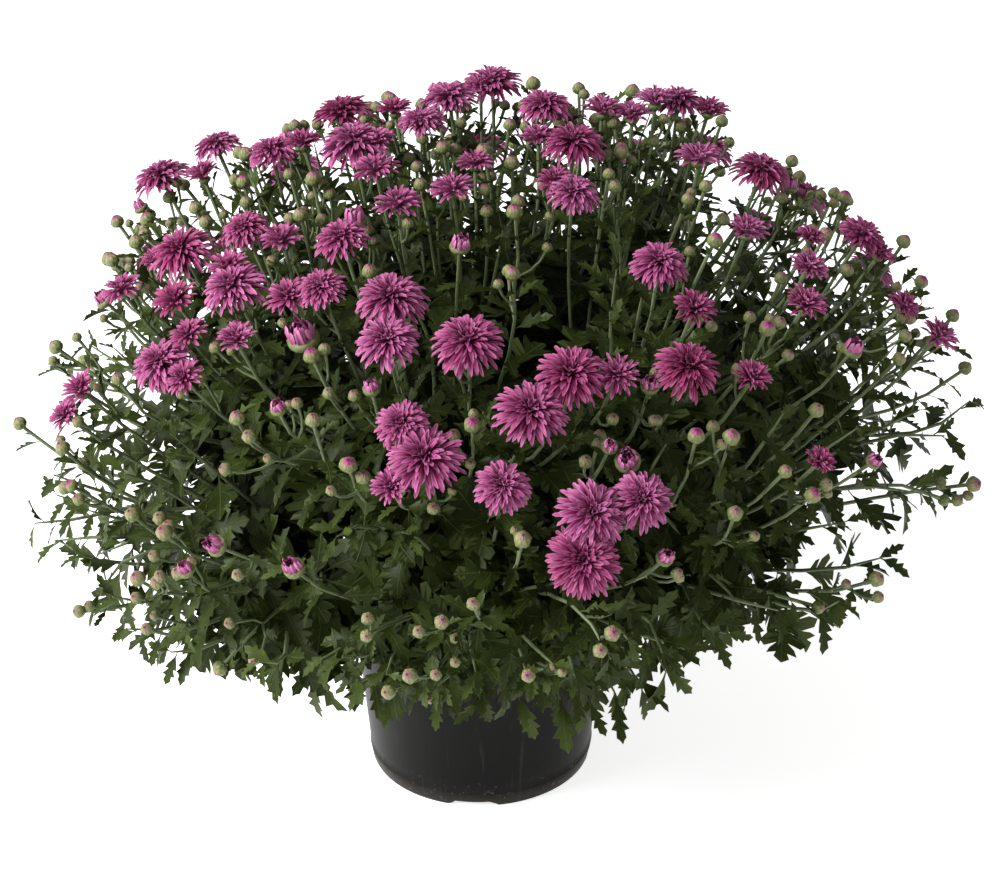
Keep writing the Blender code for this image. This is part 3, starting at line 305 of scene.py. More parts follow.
# Petals: rows along one as (how far along, share of its width), and points round one as (across, lift).
PETAL_ROWS = ((0.0, 0.42), (0.34, 0.70), (0.68, 1.00), (0.91, 0.72), (1.0, 0.20))
PETAL_SECTION = ((-1.0, 0.0), (0.0, 0.5), (1.0, 0.0), (0.0, -0.5))
PETAL_THICKNESS = 0.00045
PETAL_WIDTH = 0.0013
PETAL_WIDTH_SHARE = 0.068

# How far single petals vary in place, opening in degrees, length, breadth, cup, roll and curl.
PETAL_PLACE_JITTER = 0.24
PETAL_OPENING_JITTER = 5
PETAL_LENGTHS = (0.86, 1.07)
PETAL_BREADTHS = (0.85, 1.15)
PETAL_CUPS = (0.45, 1.10)
PETAL_ROLL = 0.55
PETAL_CURL = 0.12
FIRST_PETAL_HINT = (0.3, 1.0, 0.2)

# Layers of petals from the outside in: (count, length, root radius, root height) as shares of the bloom's
# radius, then how steeply a petal leaves its root and how steeply it ends, in degrees.
FULL_LAYERS = (
    (25, 0.97, 0.10, -0.03, 26, -46),
    (25, 0.92, 0.10, 0.02, 36, -32),
    (23, 0.85, 0.09, 0.05, 45, -19),
    (20, 0.76, 0.08, 0.08, 54, -4),
    (17, 0.65, 0.07, 0.11, 62, 14),
    (14, 0.53, 0.06, 0.14, 69, 36),
    (11, 0.41, 0.045, 0.16, 76, 62),
    (7, 0.31, 0.03, 0.17, 84, 100),
)
SMALL_LAYERS = (
    (17, 0.98, 0.10, -0.05, 30, -22),
    (15, 0.92, 0.09, 0.00, 42, -2),
    (13, 0.80, 0.08, 0.04, 53, 20),
    (10, 0.64, 0.06, 0.08, 63, 46),
    (7, 0.46, 0.04, 0.10, 75, 84),
)

# A bloom below this radius is small, and is closed further by these degrees.
SMALL_BLOOM = 0.0152
SMALL_CLOSED = (6, 24)
WARMTH_POWER = 1.5
HEART_POWER = 1.8

# Petals of an opening bud: layers as above, width as a share of its radius, and warmth.
OPENING_LAYERS = (
    (11, 1.50, 0.56, 0.15, 62, 124),
    (9, 1.32, 0.44, 0.20, 70, 120),
    (6, 1.05, 0.26, 0.25, 78, 108),
)
OPENING_PETAL = 0.40
OPENING_WARMTH = 0.35

# Pot, as in the part: radii and heights, with the underside at zero.
POT_HEIGHT = 0.140
POT_FOOT_RADIUS = 0.0715
POT_MOUTH_RADIUS = 0.0835
POT_WALL = 0.0018
RIM_RADIUS = 0.0885
RIM_BAND = 0.014
BASE_BAND = 0.010
BASE_BAND_STEP = 0.0005
FOOT_RING = 0.004
CHANNEL_RISE = 0.0045
CENTRE_PAD = 0.020
NOTCH_COUNT = 4
NOTCH_WIDTH = 0.032
NOTCH_SLOPE = 0.004
NOTCH_RISE = 0.0035
FIRST_NOTCH_ANGLE = math.radians(-94)
DRAIN_RADIUS = 0.0055
DRAIN_CIRCLE = 0.046
POT_STEPS = 160
POT_STEP_LENGTH = 0.006
DRAIN_SIDES = 32
DRAIN_REACH = (-0.004, 0.012)

# Soil: its gaps to the pot, its grid, its lumps and the colours in it.
SOIL_TO_FLOOR = 0.0008
SOIL_TO_WALL = 0.0016
SOIL_RINGS = 40
SOIL_SIDES = 120
SOIL_MIDDLE = 0.004
SOIL_WAVES = 26
SOIL_WAVE_NUMBER = 160
SOIL_LUMP = 0.0075
SOIL_EDGE = 0.08
WET_PEAT = (0.010, 0.007, 0.005)
BARK_CHIP = (0.11, 0.062, 0.032)
WHITE_GRAIN = (0.55, 0.53, 0.48)

# Studio: the lights' places and sizes, what they look at, the floor's half width, and its tooth.
KEY_PLACE = (-1.80, -0.65, 1.60)
KEY_SIZE = 1.2
FILL_PLACE = (1.5, -1.2, 1.0)
FILL_SIZE = 1.6
LIGHT_TARGET = (0, 0, 0.22)
FLOOR_HALF_WIDTH = 6.0
TOOTH_SHADE = 0.985
VIEW_LIMIT = 50


def unit(vectors):
    """The vectors at length one."""
    vectors = np.asarray(vectors, float)
    return vectors / np.linalg.norm(vectors, axis=-1, keepdims=True)


def toward(azimuth, elevation):
    """The direction at these two angles, in degrees."""
    a, e = math.radians(azimuth), math.radians(elevation)
    return np.array([math.cos(e) * math.cos(a), math.cos(e) * math.sin(a), math.sin(e)])


LEAN = np.array(
    [[math.cos(DOME_LEAN), 0, -math.sin(DOME_LEAN)], [0, 1, 0], [math.sin(DOME_LEAN), 0, math.cos(DOME_LEAN)]]
)


def dome_level(points):
    """How far out each point is, from 0 at the dome's centre to 1 on its surface."""
    local = (np.atleast_2d(points) - DOME_CENTRE) @ LEAN
    upper = local[..., 2] > 0
    flat = np.hypot(local[..., 0] / DOME_HALF_WIDTH, local[..., 1] / DOME_HALF_DEPTH)
    rise = np.abs(local[..., 2]) / np.where(upper, DOME_RISE, DOME_DROP)
    power = np.where(upper, UPPER_ROUNDNESS, LOWER_ROUNDNESS)
    return (flat**power + rise**power) ** (1 / power)


def dome_surface(directions):
    """The dome's surface in each direction: the direction divided by its own level."""
    turned = np.atleast_2d(directions) @ LEAN.T
    return DOME_CENTRE + turned / dome_level(DOME_CENTRE + turned)[:, None]


def dome_normal(point):
    """The way out of the dome at a point, from the differences of its level."""
    steps = 0.002 * np.eye(3)
    return unit(dome_level(point + steps) - dome_level(point - steps))


def dome_direction(point):
    """The direction whose shoot ends nearest to this point of the dome."""
    return unit((np.asarray(point) - DOME_CENTRE) @ LEAN)


def grow(direction, share):
    """The place a share of the way along a stem: a quadratic curve from crown to dome past the arch."""
    direction = np.asarray(direction, float)
    share = np.asarray(share, float)[..., None]
    flat = direction * FLAT
    crown = CROWN_RADIUS * flat + SOIL_LEVEL * UP
    arch = ARCH_RADIUS * flat + ARCH_LEVEL * UP
    end = dome_surface(direction)[0]
    return (1 - share) ** 2 * crown + 2 * share * (1 - share) * arch + share**2 * end


def view_axes():
    """The view's right, up and forward directions."""
    forward = np.array([0, math.cos(VIEW_DOWN), -math.sin(VIEW_DOWN)])
    side = np.array([1.0, 0, 0])
    rise = np.cross(side, forward)
    right = side * math.cos(VIEW_ROLL) + rise * math.sin(VIEW_ROLL)
    above = rise * math.cos(VIEW_ROLL) - side * math.sin(VIEW_ROLL)
    return right, above, forward


def view_eye():
    """Where the photograph was taken from."""
    return VIEW_TARGET - VIEW_DISTANCE * view_axes()[2]


def sight_line(x, y):
    """The direction of the line of sight through a pixel, one long along the view's forward direction."""
    right, above, forward = view_axes()
    return forward + (x - VIEW_CENTRE[0]) / VIEW_FOCAL * right - (y - VIEW_CENTRE[1]) / VIEW_FOCAL * above


def seen_place(x, y):
    """Where the line of sight through a pixel first meets the dome, or passes nearest to it."""
    along = np.linspace(VIEW_DISTANCE - SIGHT_REACH, VIEW_DISTANCE + SIGHT_REACH, SIGHT_STEPS)
    points = view_eye() + along[:, None] * sight_line(x, y)
    levels = dome_level(points)
    inside = np.flatnonzero(levels <= 1)
    return points[inside[0] if len(inside) else levels.argmin()]


def hanging_place(x, y):
    """Where the line of sight through a pixel meets the upright plane of the hanging shoots."""
    line = sight_line(x, y)
    return view_eye() + (HANGING_DEPTH - view_eye()[1]) / line[1] * line


def sight_gap(points, x, y):
    """How far each point lies from the line of sight through a pixel, by its cross product with that line."""
    return np.linalg.norm(np.cross(points - view_eye(), unit(sight_line(x, y))), axis=-1)


def stem_directions():
    """The middle direction of each leafy stem: rings of them round the dome, and one at its top."""
    return np.array(
        [
            toward(first + 360 * i / count, elevation)
            for count, elevation, first in STEM_RINGS
            for i in range(count)
        ]
    )


def settle(blooms):
    """Draws blooms that nearly share a place into each other, and parts those that only just touch."""
    for _ in range(SETTLE_ROUNDS):
        for i, (_, r1) in enumerate(blooms):
            for j in range(i):
                r2 = blooms[j][1]
                apart = blooms[j][0] - blooms[i][0]
                share = np.linalg.norm(apart) / (r1 + r2)
                if share > TOUCH_SHARES[1]:
                    continue
                target = min(share, TOUCH_TARGETS[0]) if share < TOUCH_SHARES[0] else TOUCH_TARGETS[1]
                move = SETTLE_STEP * (share - target) * (r1 + r2) * unit(apart)
                blooms[i][0] = blooms[i][0] + move
                blooms[j][0] = blooms[j][0] - move


def place_blooms(rng):
    """Blooms as (place, axis, radius): those seen, then others spread over the side that isn't seen."""
    blooms = [[seen_place(x, y), HALF_MILLIMETRE * width] for x, y, width in SEEN_BLOOMS]
    for _ in range(MOST_TRIES):
        if len(blooms) == len(SEEN_BLOOMS) + HIDDEN_BLOOMS:
            break
        place = dome_surface(toward(rng.uniform(*HIDDEN_AZIMUTHS), rng.uniform(*HIDDEN_ELEVATIONS)))[0]
        seen = dome_normal(place) @ unit(view_eye() - place) > HIDDEN_TURN
        if not seen and min(np.linalg.norm(place - other) for other, _ in blooms) > HIDDEN_SPACING:
            blooms.append([place, 0.5 * rng.uniform(*HIDDEN_WIDTHS)])
    settle(blooms)
    tilts = rng.uniform(-BLOOM_TILT, BLOOM_TILT, (len(blooms), 3))
    return [
        (place, unit(dome_normal(place) + BLOOM_RISE * UP + tilt), radius)
        for (place, radius), tilt in zip(blooms, tilts)
    ]


STEMS = stem_directions()
BLOOMS = place_blooms(np.random.default_rng(SEED))
BLOOM_PLACES = np.array([place for place, _, _ in BLOOMS])
BLOOM_RADII = np.array([radius for _, _, radius in BLOOMS])


def nearest_stem(point):
    """The number of the main stem whose direction is nearest to that of a point."""
    return int((STEMS @ dome_direction(point)).argmax())


def bud_places(rng):
    """Buds as (place, way, radius, how pink): those seen, then others spread evenly between the blooms."""
    buds = [(seen_place(x, y), HALF_MILLIMETRE * width, 1.0) for x, y, width in SEEN_BUDS]
    taken = [place for place, _, _ in buds]
    for _ in range(MOST_TRIES):
        if len(buds) == BUD_SHOOTS:
            break
        place = dome_surface(toward(rng.uniform(0, 360), rng.uniform(*BUD_ELEVATIONS)))[0]
        clear = np.linalg.norm(BLOOM_PLACES - place, axis=1) - BLOOM_RADII
        apart = min(np.linalg.norm(place - other) for other in taken)
        if clear.min() > BUD_TO_BLOOM and apart > BUD_SPACING:
            buds.append((place, rng.uniform(*BUD_RADII), rng.uniform(0, MOST_BLUSH)))
            taken.append(place)
    ways = [
        unit(dome_normal(place) + BUD_RISE * UP + rng.uniform(-TIP_TILT, TIP_TILT, 3)) for place, _, _ in buds
    ]
    return [(place, way, radius, pink) for (place, radius, pink), way in zip(buds, ways)]


def leaf_shoot_places(rng):
    """Ends of shoots that carry leaves alone: those seen, then others low on the dome and in its gaps."""
    ends = [seen_place(x, y) for x, y in SEEN_SHOOTS]
    for _ in range(MOST_TRIES):
        if len(ends) == LEAF_SHOOTS:
            break
        bands = [rng.uniform(*LOW_ELEVATIONS), rng.uniform(*HIGH_ELEVATIONS)]
        elevation = rng.choice(bands, p=[LOW_SHARE, 1 - LOW_SHARE])
        place = dome_surface(toward(rng.uniform(0, 360), elevation))[0]
        if min(np.linalg.norm(place - other) for other in ends) > LEAF_SHOOT_SPACING:
            ends.append(place)
    sunk = rng.uniform(*SHOOT_SINKS, len(ends))
    sunk[: len(SEEN_SHOOTS)] = 0
    return [end - depth * dome_normal(end) for end, depth in zip(ends, sunk)]


def bezier(corners, shares):
    """Places on cubic curves: corners is (curve, 4, 3), and the result (curve, share, 3)."""
    t = np.asarray(shares)[:, None]
    weights = ((1 - t) ** 3, 3 * t * (1 - t) ** 2, 3 * t**2 * (1 - t), t**3)
    return sum(w * corners[:, None, i] for i, w in enumerate(weights))


class Shoots:
    """Every shoot as a cubic curve from its main stem to its end, with its stem's number and its kind."""

    def __init__(self, rng):
        self.corners, self.stem, self.kind, self.ends = [], [], [], []
        for place, axis, radius in BLOOMS:
            self.grow_to(place + BLOOM_FOOT * radius * axis, axis, "bloom", rng)
        self.buds = bud_places(rng)
        for place, way, radius, _ in self.buds:
            self.grow_to(place - BUD_FOOT * radius * way, way, "bud", rng)
        for place in leaf_shoot_places(rng):
            rise = rng.uniform(*TIP_RISES)
            way = unit(dome_normal(place) + rise * UP + rng.uniform(-TIP_TILT, TIP_TILT, 3))
            self.grow_to(place - TIP_ROOM["leaf"] * way, way, "leaf", rng)
        for pixel in SEEN_HANGING:
            place = hanging_place(*pixel)
            way = unit(unit(place * FLAT) - rng.uniform(*HANGING_DROPS) * UP)
            self.grow_to(place - TIP_ROOM["hanging"] * way, way, "hanging", rng)
        self.corners = np.array(self.corners)
        self.stem = np.array(self.stem)
        self.kind = np.array(self.kind)

    def grow_to(self, end, way, kind, rng):
        """Adds a shoot that leaves its main stem low down, and comes in to its end along a way."""
        stem = nearest_stem(end)
        share = rng.uniform(*SHOOT_LEAVES_STEM)
        root = grow(STEMS[stem], share)
        reach = np.linalg.norm(end - root)
        direction = unit(STEMS[stem] + SHOOT_PULL * dome_direction(end))
        bend = grow(direction, share + SHOOT_BEND_SHARE)
        self.corners.append([root, bend, end - SHOOT_NECK_SHARE * reach * way, end])
        self.stem.append(stem)
        self.kind.append(kind)


def skin_faces(rows, sides):
    """Quads of a closed skin of rings, with flat ends, and whether each lies on the underside.

    Ring i and side k make the quad (i, k), (i, k+1), (i+1, k+1), (i+1, k), with k+1 taken round the ring.
    The last half of each ring's sides is the underside. An end is a strip of quads across its ring."""
    row = sides * np.arange(rows - 1)[:, None]
    side = np.arange(sides)[None]
    following = (side + 1) % sides
    body = np.stack([row + side, row + following, row + sides + following, row + sides + side], axis=-1)
    under = np.broadcast_to(side >= sides // 2, (rows - 1, sides)).ravel()
    k = np.arange(sides // 2 - 1)
    last = np.stack([k, k + 1, sides - 2 - k, sides - 1 - k], axis=-1)
    faces = np.vstack([body.reshape(-1, 4), last[:, ::-1], last + sides * (rows - 1)])
    return faces, np.append(under, np.zeros(2 * len(last), bool)).astype(np.float32)


class Skins:
    """The skins of one piece, gathered as whole arrays before they become one mesh."""

    def __init__(self):
        self.points, self.faces, self.uv, self.marks, self.under, self.slots = [], [], [], [], [], []
        self.count = 0

    def add(self, grid, uv, marks, slot=0):
        """Adds copies of one skin: grid is (copy, row, side, 3), uv its map, and marks 3 for each copy."""
        copies, rows, sides, _ = grid.shape
        faces, under = skin_faces(rows, sides)
        starts = self.count + rows * sides * np.arange(copies)
        self.points.append(grid.reshape(-1, 3))
        self.faces.append((faces[None] + starts[:, None, None]).reshape(-1, 4))
        self.uv.append(np.broadcast_to(uv, (copies, rows, sides, 2)).reshape(-1, 2))
        self.marks.append(np.repeat(np.asarray(marks, float), rows * sides, axis=0))
        self.under.append(np.tile(under, copies))
        self.slots.append(np.full(len(under) * copies, slot, np.int32))
        self.count += rows * sides * copies

    def make(self, name, materials, slot, nodes):
        """The mesh of all the skins, as a piece that rides on the plant and replaces nodes."""
        points, faces = np.vstack(self.points), np.vstack(self.faces)
        made = new_piece(name, points, faces, materials, slot, nodes)
        mesh = made.data
        mesh.polygons.foreach_set("material_index", np.concatenate(self.slots))
        uv = np.vstack(self.uv)[faces.ravel()]
        mesh.uv_layers.new(name="UVMap").data.foreach_set("uv", uv.astype(np.float32).ravel())
        marks = mesh.attributes.new("marks", "FLOAT_VECTOR", "POINT")
        marks.data.foreach_set("vector", np.vstack(self.marks).astype(np.float32).ravel())
        under = mesh.attributes.new("underside", "FLOAT", "FACE")
        under.data.foreach_set("value", np.concatenate(self.under))
        mesh.set_sharp_from_angle(angle=SHARP_FOLD)
        return made


def new_piece(name, points, faces, materials, slot, nodes):
    """An object of smooth quads at the origin, which rides on the plant's body and replaces CAD nodes."""
    mesh = bpy.data.meshes.new(name)
    mesh.vertices.add(len(points))
    mesh.vertices.foreach_set("co", np.asarray(points, np.float32).ravel())
    mesh.loops.add(faces.size)
    mesh.polygons.add(len(faces))
    mesh.polygons.foreach_set("loop_start", faces.shape[1] * np.arange(len(faces), dtype=np.int32))
    mesh.polygons.foreach_set("vertices", faces.astype(np.int32).ravel())
    for material in materials:
        mesh.materials.append(material)
    mesh.update(calc_edges=True)
    mesh.shade_smooth()
    made = bpy.data.objects.new(name, mesh)
    bpy.context.scene.collection.objects.link(made)
    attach(made, "root")
    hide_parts(*nodes)
    return made


def tube_grid(paths, radii, sides):
    """Rings of points round each path, square to its way: path + radius (cos a across + sin a over)."""
    ahead = unit(np.gradient(paths, axis=1))
    chord = unit(paths[:, -1] - paths[:, 0])
    hint = np.where(np.abs(chord[:, 2:]) < 0.9, UP, np.array([1.0, 0.0, 0.0]))
    hint = unit(np.cross(hint, chord))[:, None]
    across = unit(hint - (hint * ahead).sum(axis=-1, keepdims=True) * ahead)
    over = np.cross(ahead, across)
    angles = FULL_TURN * np.arange(sides) / sides
    ring = np.cos(angles)[:, None] * across[:, :, None] + np.sin(angles)[:, None] * over[:, :, None]
    return paths[:, :, None] + np.asarray(radii)[..., None, None] * ring


def turned_grid(place, way, radius, profile, sides, swell=1.0):
    """A turned shape and its map: rings of radius times width and swell, radius times rise along its way."""
    rises, widths = np.array(profile).T
    path = (place + radius * rises[:, None] * way)[None]
    grid = tube_grid(path, radius * widths[None], sides)
    middle = path[:, :, None]
    return middle + (grid - middle) * swell, tube_uv(len(profile), sides)


def ribbed(count, depth, sides):
    """How far each side of a ring with ribs stands out: 1 + depth cos(count times its angle)."""
    return 1 + depth * np.cos(count * FULL_TURN * np.arange(sides) / sides)[:, None]


def tube_uv(rows, sides):
    """The map of a tube: once round it by once along it."""
    around = np.broadcast_to(np.abs(2 * np.arange(sides) / sides - 1), (rows, sides))
    along = np.broadcast_to(np.linspace(0, 1, rows)[:, None], (rows, sides))
    return np.stack([around, along], axis=-1)


def axes_round(way, face):
    """Right-handed axes for each copy: across, along its way, and lifted to the side that it faces."""
    way = unit(way)
    across = unit(np.cross(way, face))
    return across, way, np.cross(across, way)


def leaf_grid(rows, root, way, face, length, shape):
    """Lobed leaves. At a share u along and v from -1 to 1 across, with half width w(u) and sweep s(u):

    across = v w(u), along = u + s(u)|v|, lift = fold |v| w(u) - droop along^2 + wave sin(9u + phase) v w(u),
    then turned about the rib by twist u. The ring is left edge, rib, right edge, and the underside's rib."""
    u, width, sweep = np.array(rows).T[:, :, None]
    v, side = np.array([-1.0, 0.0, 1.0, 0.0]), np.array([0.0, 1.0, 0.0, -1.0])
    fold, droop, twist, wave, phase, breadth, curl = (shape[:, i, None, None] for i in range(7))
    x = breadth * v * width
    y = u + sweep * np.abs(v) + 0 * x
    z = fold * np.abs(x) - droop * y**2 + wave * np.sin(LEAF_WAVES * u + phase) * x
    x = x + curl * y**2
    z = z + side * 0.5 * (LEAF_THICKNESS / length)[:, None, None] * (1 - 0.5 * u)
    angle = twist * u
    x, z = x * np.cos(angle) + z * np.sin(angle), z * np.cos(angle) - x * np.sin(angle)
    across, along, lift = (axis[:, None, None] for axis in axes_round(way, face))
    scale = length[:, None, None, None]
    grid = root[:, None, None] + scale * (x[..., None] * across + y[..., None] * along + z[..., None] * lift)
    uv = np.stack(np.broadcast_arrays(0.5 + v * width, u), axis=-1)
    return grid, uv


def bloom_conflict(points):
    """Whether any of each leaf's points lies in the bowl of a bloom. points is (leaf, point, 3)."""
    clash = np.zeros(len(points), bool)
    for place, axis, radius in BLOOMS:
        away = points - place
        height = away @ axis
        out = np.linalg.norm(away - height[..., None] * axis, axis=-1)
        low, high = (share * radius for share in BOWL_HEIGHTS)
        inside = (out < BOWL_WIDTH * radius) & (height > low) & (height < high)
        clash |= inside.any(axis=1)
    return clash


def box_conflict(points):
    """Whether any of each leaf's points leaves the frame's box, hangs too low, or enters the pot."""
    low, high = (np.array(corner) for corner in CAD_BOX)
    spare = BOX_ROOM * (high - low)
    outside = ((points < low - spare) | (points > high + spare)).any(axis=(1, 2))
    hangs = (points[..., 2] < LOW_LEAF_LEVEL).any(axis=1)
    out = np.hypot(points[..., 0], points[..., 1])
    in_pot = ((out < RIM_RADIUS + POT_ROOM) & (points[..., 2] < POT_HEIGHT + POT_ROOM)).any(axis=1)
    furthest = np.where(points[..., 2] > DOME_CENTRE[2], LEAF_FURTHEST, LOW_LEAF_FURTHEST)
    far = (dome_level(points.reshape(-1, 3)).reshape(points.shape[:2]) > furthest).any(axis=1)
    return outside | hangs | in_pot | far


def along_path(path, shares, at):
    """The places and ways at these shares of a path, which is given at evenly spread shares."""
    spot = np.stack([np.interp(at, shares, path[:, i]) for i in range(3)], axis=1)
    ahead = np.gradient(path, axis=0)
    return spot, unit(np.stack([np.interp(at, shares, ahead[:, i]) for i in range(3)], axis=1))


def spiral(ahead, turn):
    """Unit vectors square to each way, turned round it."""
    hint = unit(np.cross(ahead, UP + np.array([0.01, 0.02, 0.0])))
    return np.cos(turn)[:, None] * hint + np.sin(turn)[:, None] * np.cross(ahead, hint)


def plan_leaves(shoots, settings, rng):
    """Leaves spiralled up every shoot and main stem, as arrays of root, way, face, length and stem.

    The nearer a leaf stands to its shoot's end, the shorter it is and the closer it hugs the shoot."""
    rows = []
    shares = np.linspace(0, 1, PATH_POINTS)
    paths = bezier(shoots.corners, shares)
    for path, stem, kind in zip(paths, shoots.stem, shoots.kind):
        travelled = np.append(0, np.cumsum(np.linalg.norm(np.diff(path, axis=0), axis=1)))
        reach = travelled[-1]
        gaps = settings.leaf_spacing * LEAF_GAPS
        left = LEAF_STARTS[kind] + np.cumsum(gaps) - gaps[0]
        left = left[left < (1 - settings.bare_stem) * reach]
        left = left + rng.uniform(-LEAF_JITTER, LEAF_JITTER, len(left)) * settings.leaf_spacing
        at = np.interp(np.clip(reach - left, 0, reach), travelled, shares)
        spot, ahead = along_path(path, shares, at)
        radial = spiral(ahead, LEAF_TURN * np.arange(len(at)) + rng.uniform(0, FULL_TURN))
        size = np.interp(left, LEAF_DISTANCES, LEAF_SIZES[kind]) * settings.leaf_length
        size = size * rng.uniform(*LEAF_SPREAD, len(at))
        opening = rng.uniform(*(np.interp(left, LEAF_OPENING_REACH, ends) for ends in LEAF_OPENINGS))
        opening = np.radians(opening)[:, None]
        way = np.sin(opening) * radial + np.cos(opening) * ahead
        hang = np.interp(spot[:, 2:], HANG_LEVELS, (1, 0)) * rng.uniform(*LEAF_HANG, (len(at), 1))
        tilt = LEAF_FACE_TILT * rng.uniform(-1, 1, (len(at), 3))
        face = ahead + (LEAF_FACE_RISE + 0.5 * hang) * UP + tilt
        rows.append((spot, way - hang * UP, face, size, np.full(len(at), stem)))
    for stem, direction in enumerate(STEMS):
        count = settings.inner_leaves
        at = rng.uniform(*INNER_SHARES, count)
        spot = grow(direction, at)
        ahead = unit(grow(direction, at + INNER_STEP) - spot)
        out, on = INNER_OPENING
        way = out * spiral(ahead, rng.uniform(0, FULL_TURN, count)) + on * ahead
        size = settings.leaf_length * rng.uniform(*INNER_SPREAD, count)
        rows.append((spot, way, ahead + 0.8 * UP, size, np.full(count, stem)))
    return [np.concatenate(values) for values in zip(*rows)]


def stem_node(stem):
    """The CAD node of a leafy stem."""
    return f"leafy_stem_{stem + 1:02d}"


def bloom_nodes():
    """The CAD node that holds each bloom: the smallest bloom node round its centre, or else its stem."""
    names = [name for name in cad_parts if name.startswith("bloom_")]
    boxes = [(np.array(low), np.array(high)) for low, high in (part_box(name) for name in names)]
    found = []
    for place in BLOOM_PLACES:
        inside = [i for i, (low, high) in enumerate(boxes) if (place > low).all() and (place < high).all()]
        if inside:
            found.append(names[min(inside, key=lambda i: np.prod(boxes[i][1] - boxes[i][0]))])
        else:
            found.append(stem_node(nearest_stem(place)))
    for name, (low, high) in zip(names, boxes):
        if name not in found:
            raise RuntimeError(f"{name} holds no bloom")
    return found


def petal_grid(place, axis, radius, layer, spread, width, rng):
    """One layer of petals. Each follows a curve whose slope goes evenly from its root's to its tip's.

    out = root + length * sum of cos(slope), rise = height + length * sum of sin(slope), and across the petal
    v w(t) with its edges lifted by cup v^2. Each is turned about the bloom's axis by its share of a turn."""
    count, length, root_out, root_rise, slope_root, slope_tip = layer
    t, profile = np.array(PETAL_ROWS).T
    v, side = np.array(PETAL_SECTION).T
    places = np.arange(count) + rng.uniform(-PETAL_PLACE_JITTER, PETAL_PLACE_JITTER, count)
    turn = FULL_TURN * places / count + rng.uniform(0, 6.28)
    opening = np.radians(rng.normal(0, PETAL_OPENING_JITTER, count) - spread)
    slopes = np.radians(slope_root) + (np.radians(slope_tip) - np.radians(slope_root)) * t + opening[:, None]
    lengths = radius * length * rng.uniform(*PETAL_LENGTHS, count)[:, None]
    steps = np.diff(t) * lengths
    middle = 0.5 * (slopes[:, 1:] + slopes[:, :-1])
    out = radius * root_out + np.pad(np.cumsum(steps * np.cos(middle), axis=1), ((0, 0), (1, 0)))
    rise = radius * root_rise + np.pad(np.cumsum(steps * np.sin(middle), axis=1), ((0, 0), (1, 0)))
    half = 0.5 * width * rng.uniform(*PETAL_BREADTHS, count)[:, None] * profile
    across = v * half[..., None]
    cup = rng.uniform(*PETAL_CUPS, count)[:, None, None]
    lift = cup * np.abs(across) * np.abs(v) + side * PETAL_THICKNESS
    roll = rng.uniform(-PETAL_ROLL, PETAL_ROLL, count)[:, None, None] * t[:, None]
    across, lift = across * np.cos(roll) + lift * np.sin(roll), lift * np.cos(roll) - across * np.sin(roll)
    across = across + (rng.uniform(-PETAL_CURL, PETAL_CURL, count)[:, None] * lengths * t**2)[..., None]
    side_axis = unit(np.cross(axis, FIRST_PETAL_HINT))
    over_axis = np.cross(axis, side_axis)
    outward = np.cos(turn)[:, None] * side_axis + np.sin(turn)[:, None] * over_axis
    sideways = np.cross(outward, axis)
    slope = slopes[..., None, None]
    face = -np.sin(slope) * outward[:, None, None] + np.cos(slope) * axis
    grid = place + out[..., None, None] * outward[:, None, None] + rise[..., None, None] * axis
    grid = grid + across[..., None] * sideways[:, None, None] + lift[..., None] * face
    uv = np.stack(np.broadcast_arrays(0.5 + 0.5 * v, t[:, None]), axis=-1)
    return grid, uv


class Value:
    """A value or colour that a material works out: the output of one of its nodes."""

    def __init__(self, tree, socket):
        self.tree, self.socket = tree, socket

    def node(self, kind, settings=None, output=0, **inputs):
        """Any node: its type, its settings, and the values or links of its sockets by name or number."""
        made = self.tree.nodes.new(kind)
        for name, value in (settings or {}).items():
            setattr(made, name, value)
        for name, value in inputs.items():
            key = int(name[1:]) if name[1:].isdigit() else name.replace("_", " ")
            socket = made.inputs[key]
            if isinstance(value, Value):
                self.tree.links.new(value.socket, socket)
            else:
                socket.default_value = value
        return Value(self.tree, made.outputs[output])

    def maths(self, operation, *others):
        """A Math node on this value and the others."""
        inputs = {f"_{i}": value for i, value in enumerate((self, *others))}
        return self.node("ShaderNodeMath", {"operation": operation}, **inputs)

    def __add__(self, other):
        return self.maths("ADD", other)

    def __sub__(self, other):
        return self.maths("SUBTRACT", other)

    def __rsub__(self, other):
        return self.node("ShaderNodeMath", {"operation": "SUBTRACT"}, _0=other, _1=self)

    def __mul__(self, other):
        return self.maths("MULTIPLY", other)

    __radd__ = __add__
    __rmul__ = __mul__

    def clamped(self):
        """The value kept between 0 and 1."""
        return self.node("ShaderNodeClamp", None, Value=self)

    def ramp(self, low, high):
        """The value from 0 to 1 as it goes smoothly from low to high."""
        settings = {"interpolation_type": "SMOOTHSTEP"}
        return self.node("ShaderNodeMapRange", settings, Value=self, From_Min=low, From_Max=high)

    def mix(self, low, high):
        """The colour low where the value is 0 and high where it is 1."""
        settings = {"data_type": "RGBA", "clamp_factor": True}
        return self.node("ShaderNodeMix", settings, output=2, _0=self, _6=colour(low), _7=colour(high))

    def noise(self, scale, detail=3.0, rough=0.5):
        """Smooth noise from 0 to 1 at these coordinates."""
        inputs = {"Vector": self, "Scale": scale, "Detail": detail, "Roughness": rough}
        return self.node("ShaderNodeTexNoise", None, **inputs)

    def stretched(self, x, y, z):
        """The coordinates scaled along each axis."""
        return self.node("ShaderNodeVectorMath", {"operation": "MULTIPLY"}, _0=self, _1=(x, y, z))

    def parts(self):
        """The x, y and z of a vector."""
        split = self.node("ShaderNodeSeparateXYZ", None, _0=self)
        return [Value(self.tree, output) for output in split.socket.node.outputs]


def colour(shade):
    """A colour with its alpha, or the value that works one out."""
    return shade if isinstance(shade, Value) else (*tuple(shade)[:3], 1.0)


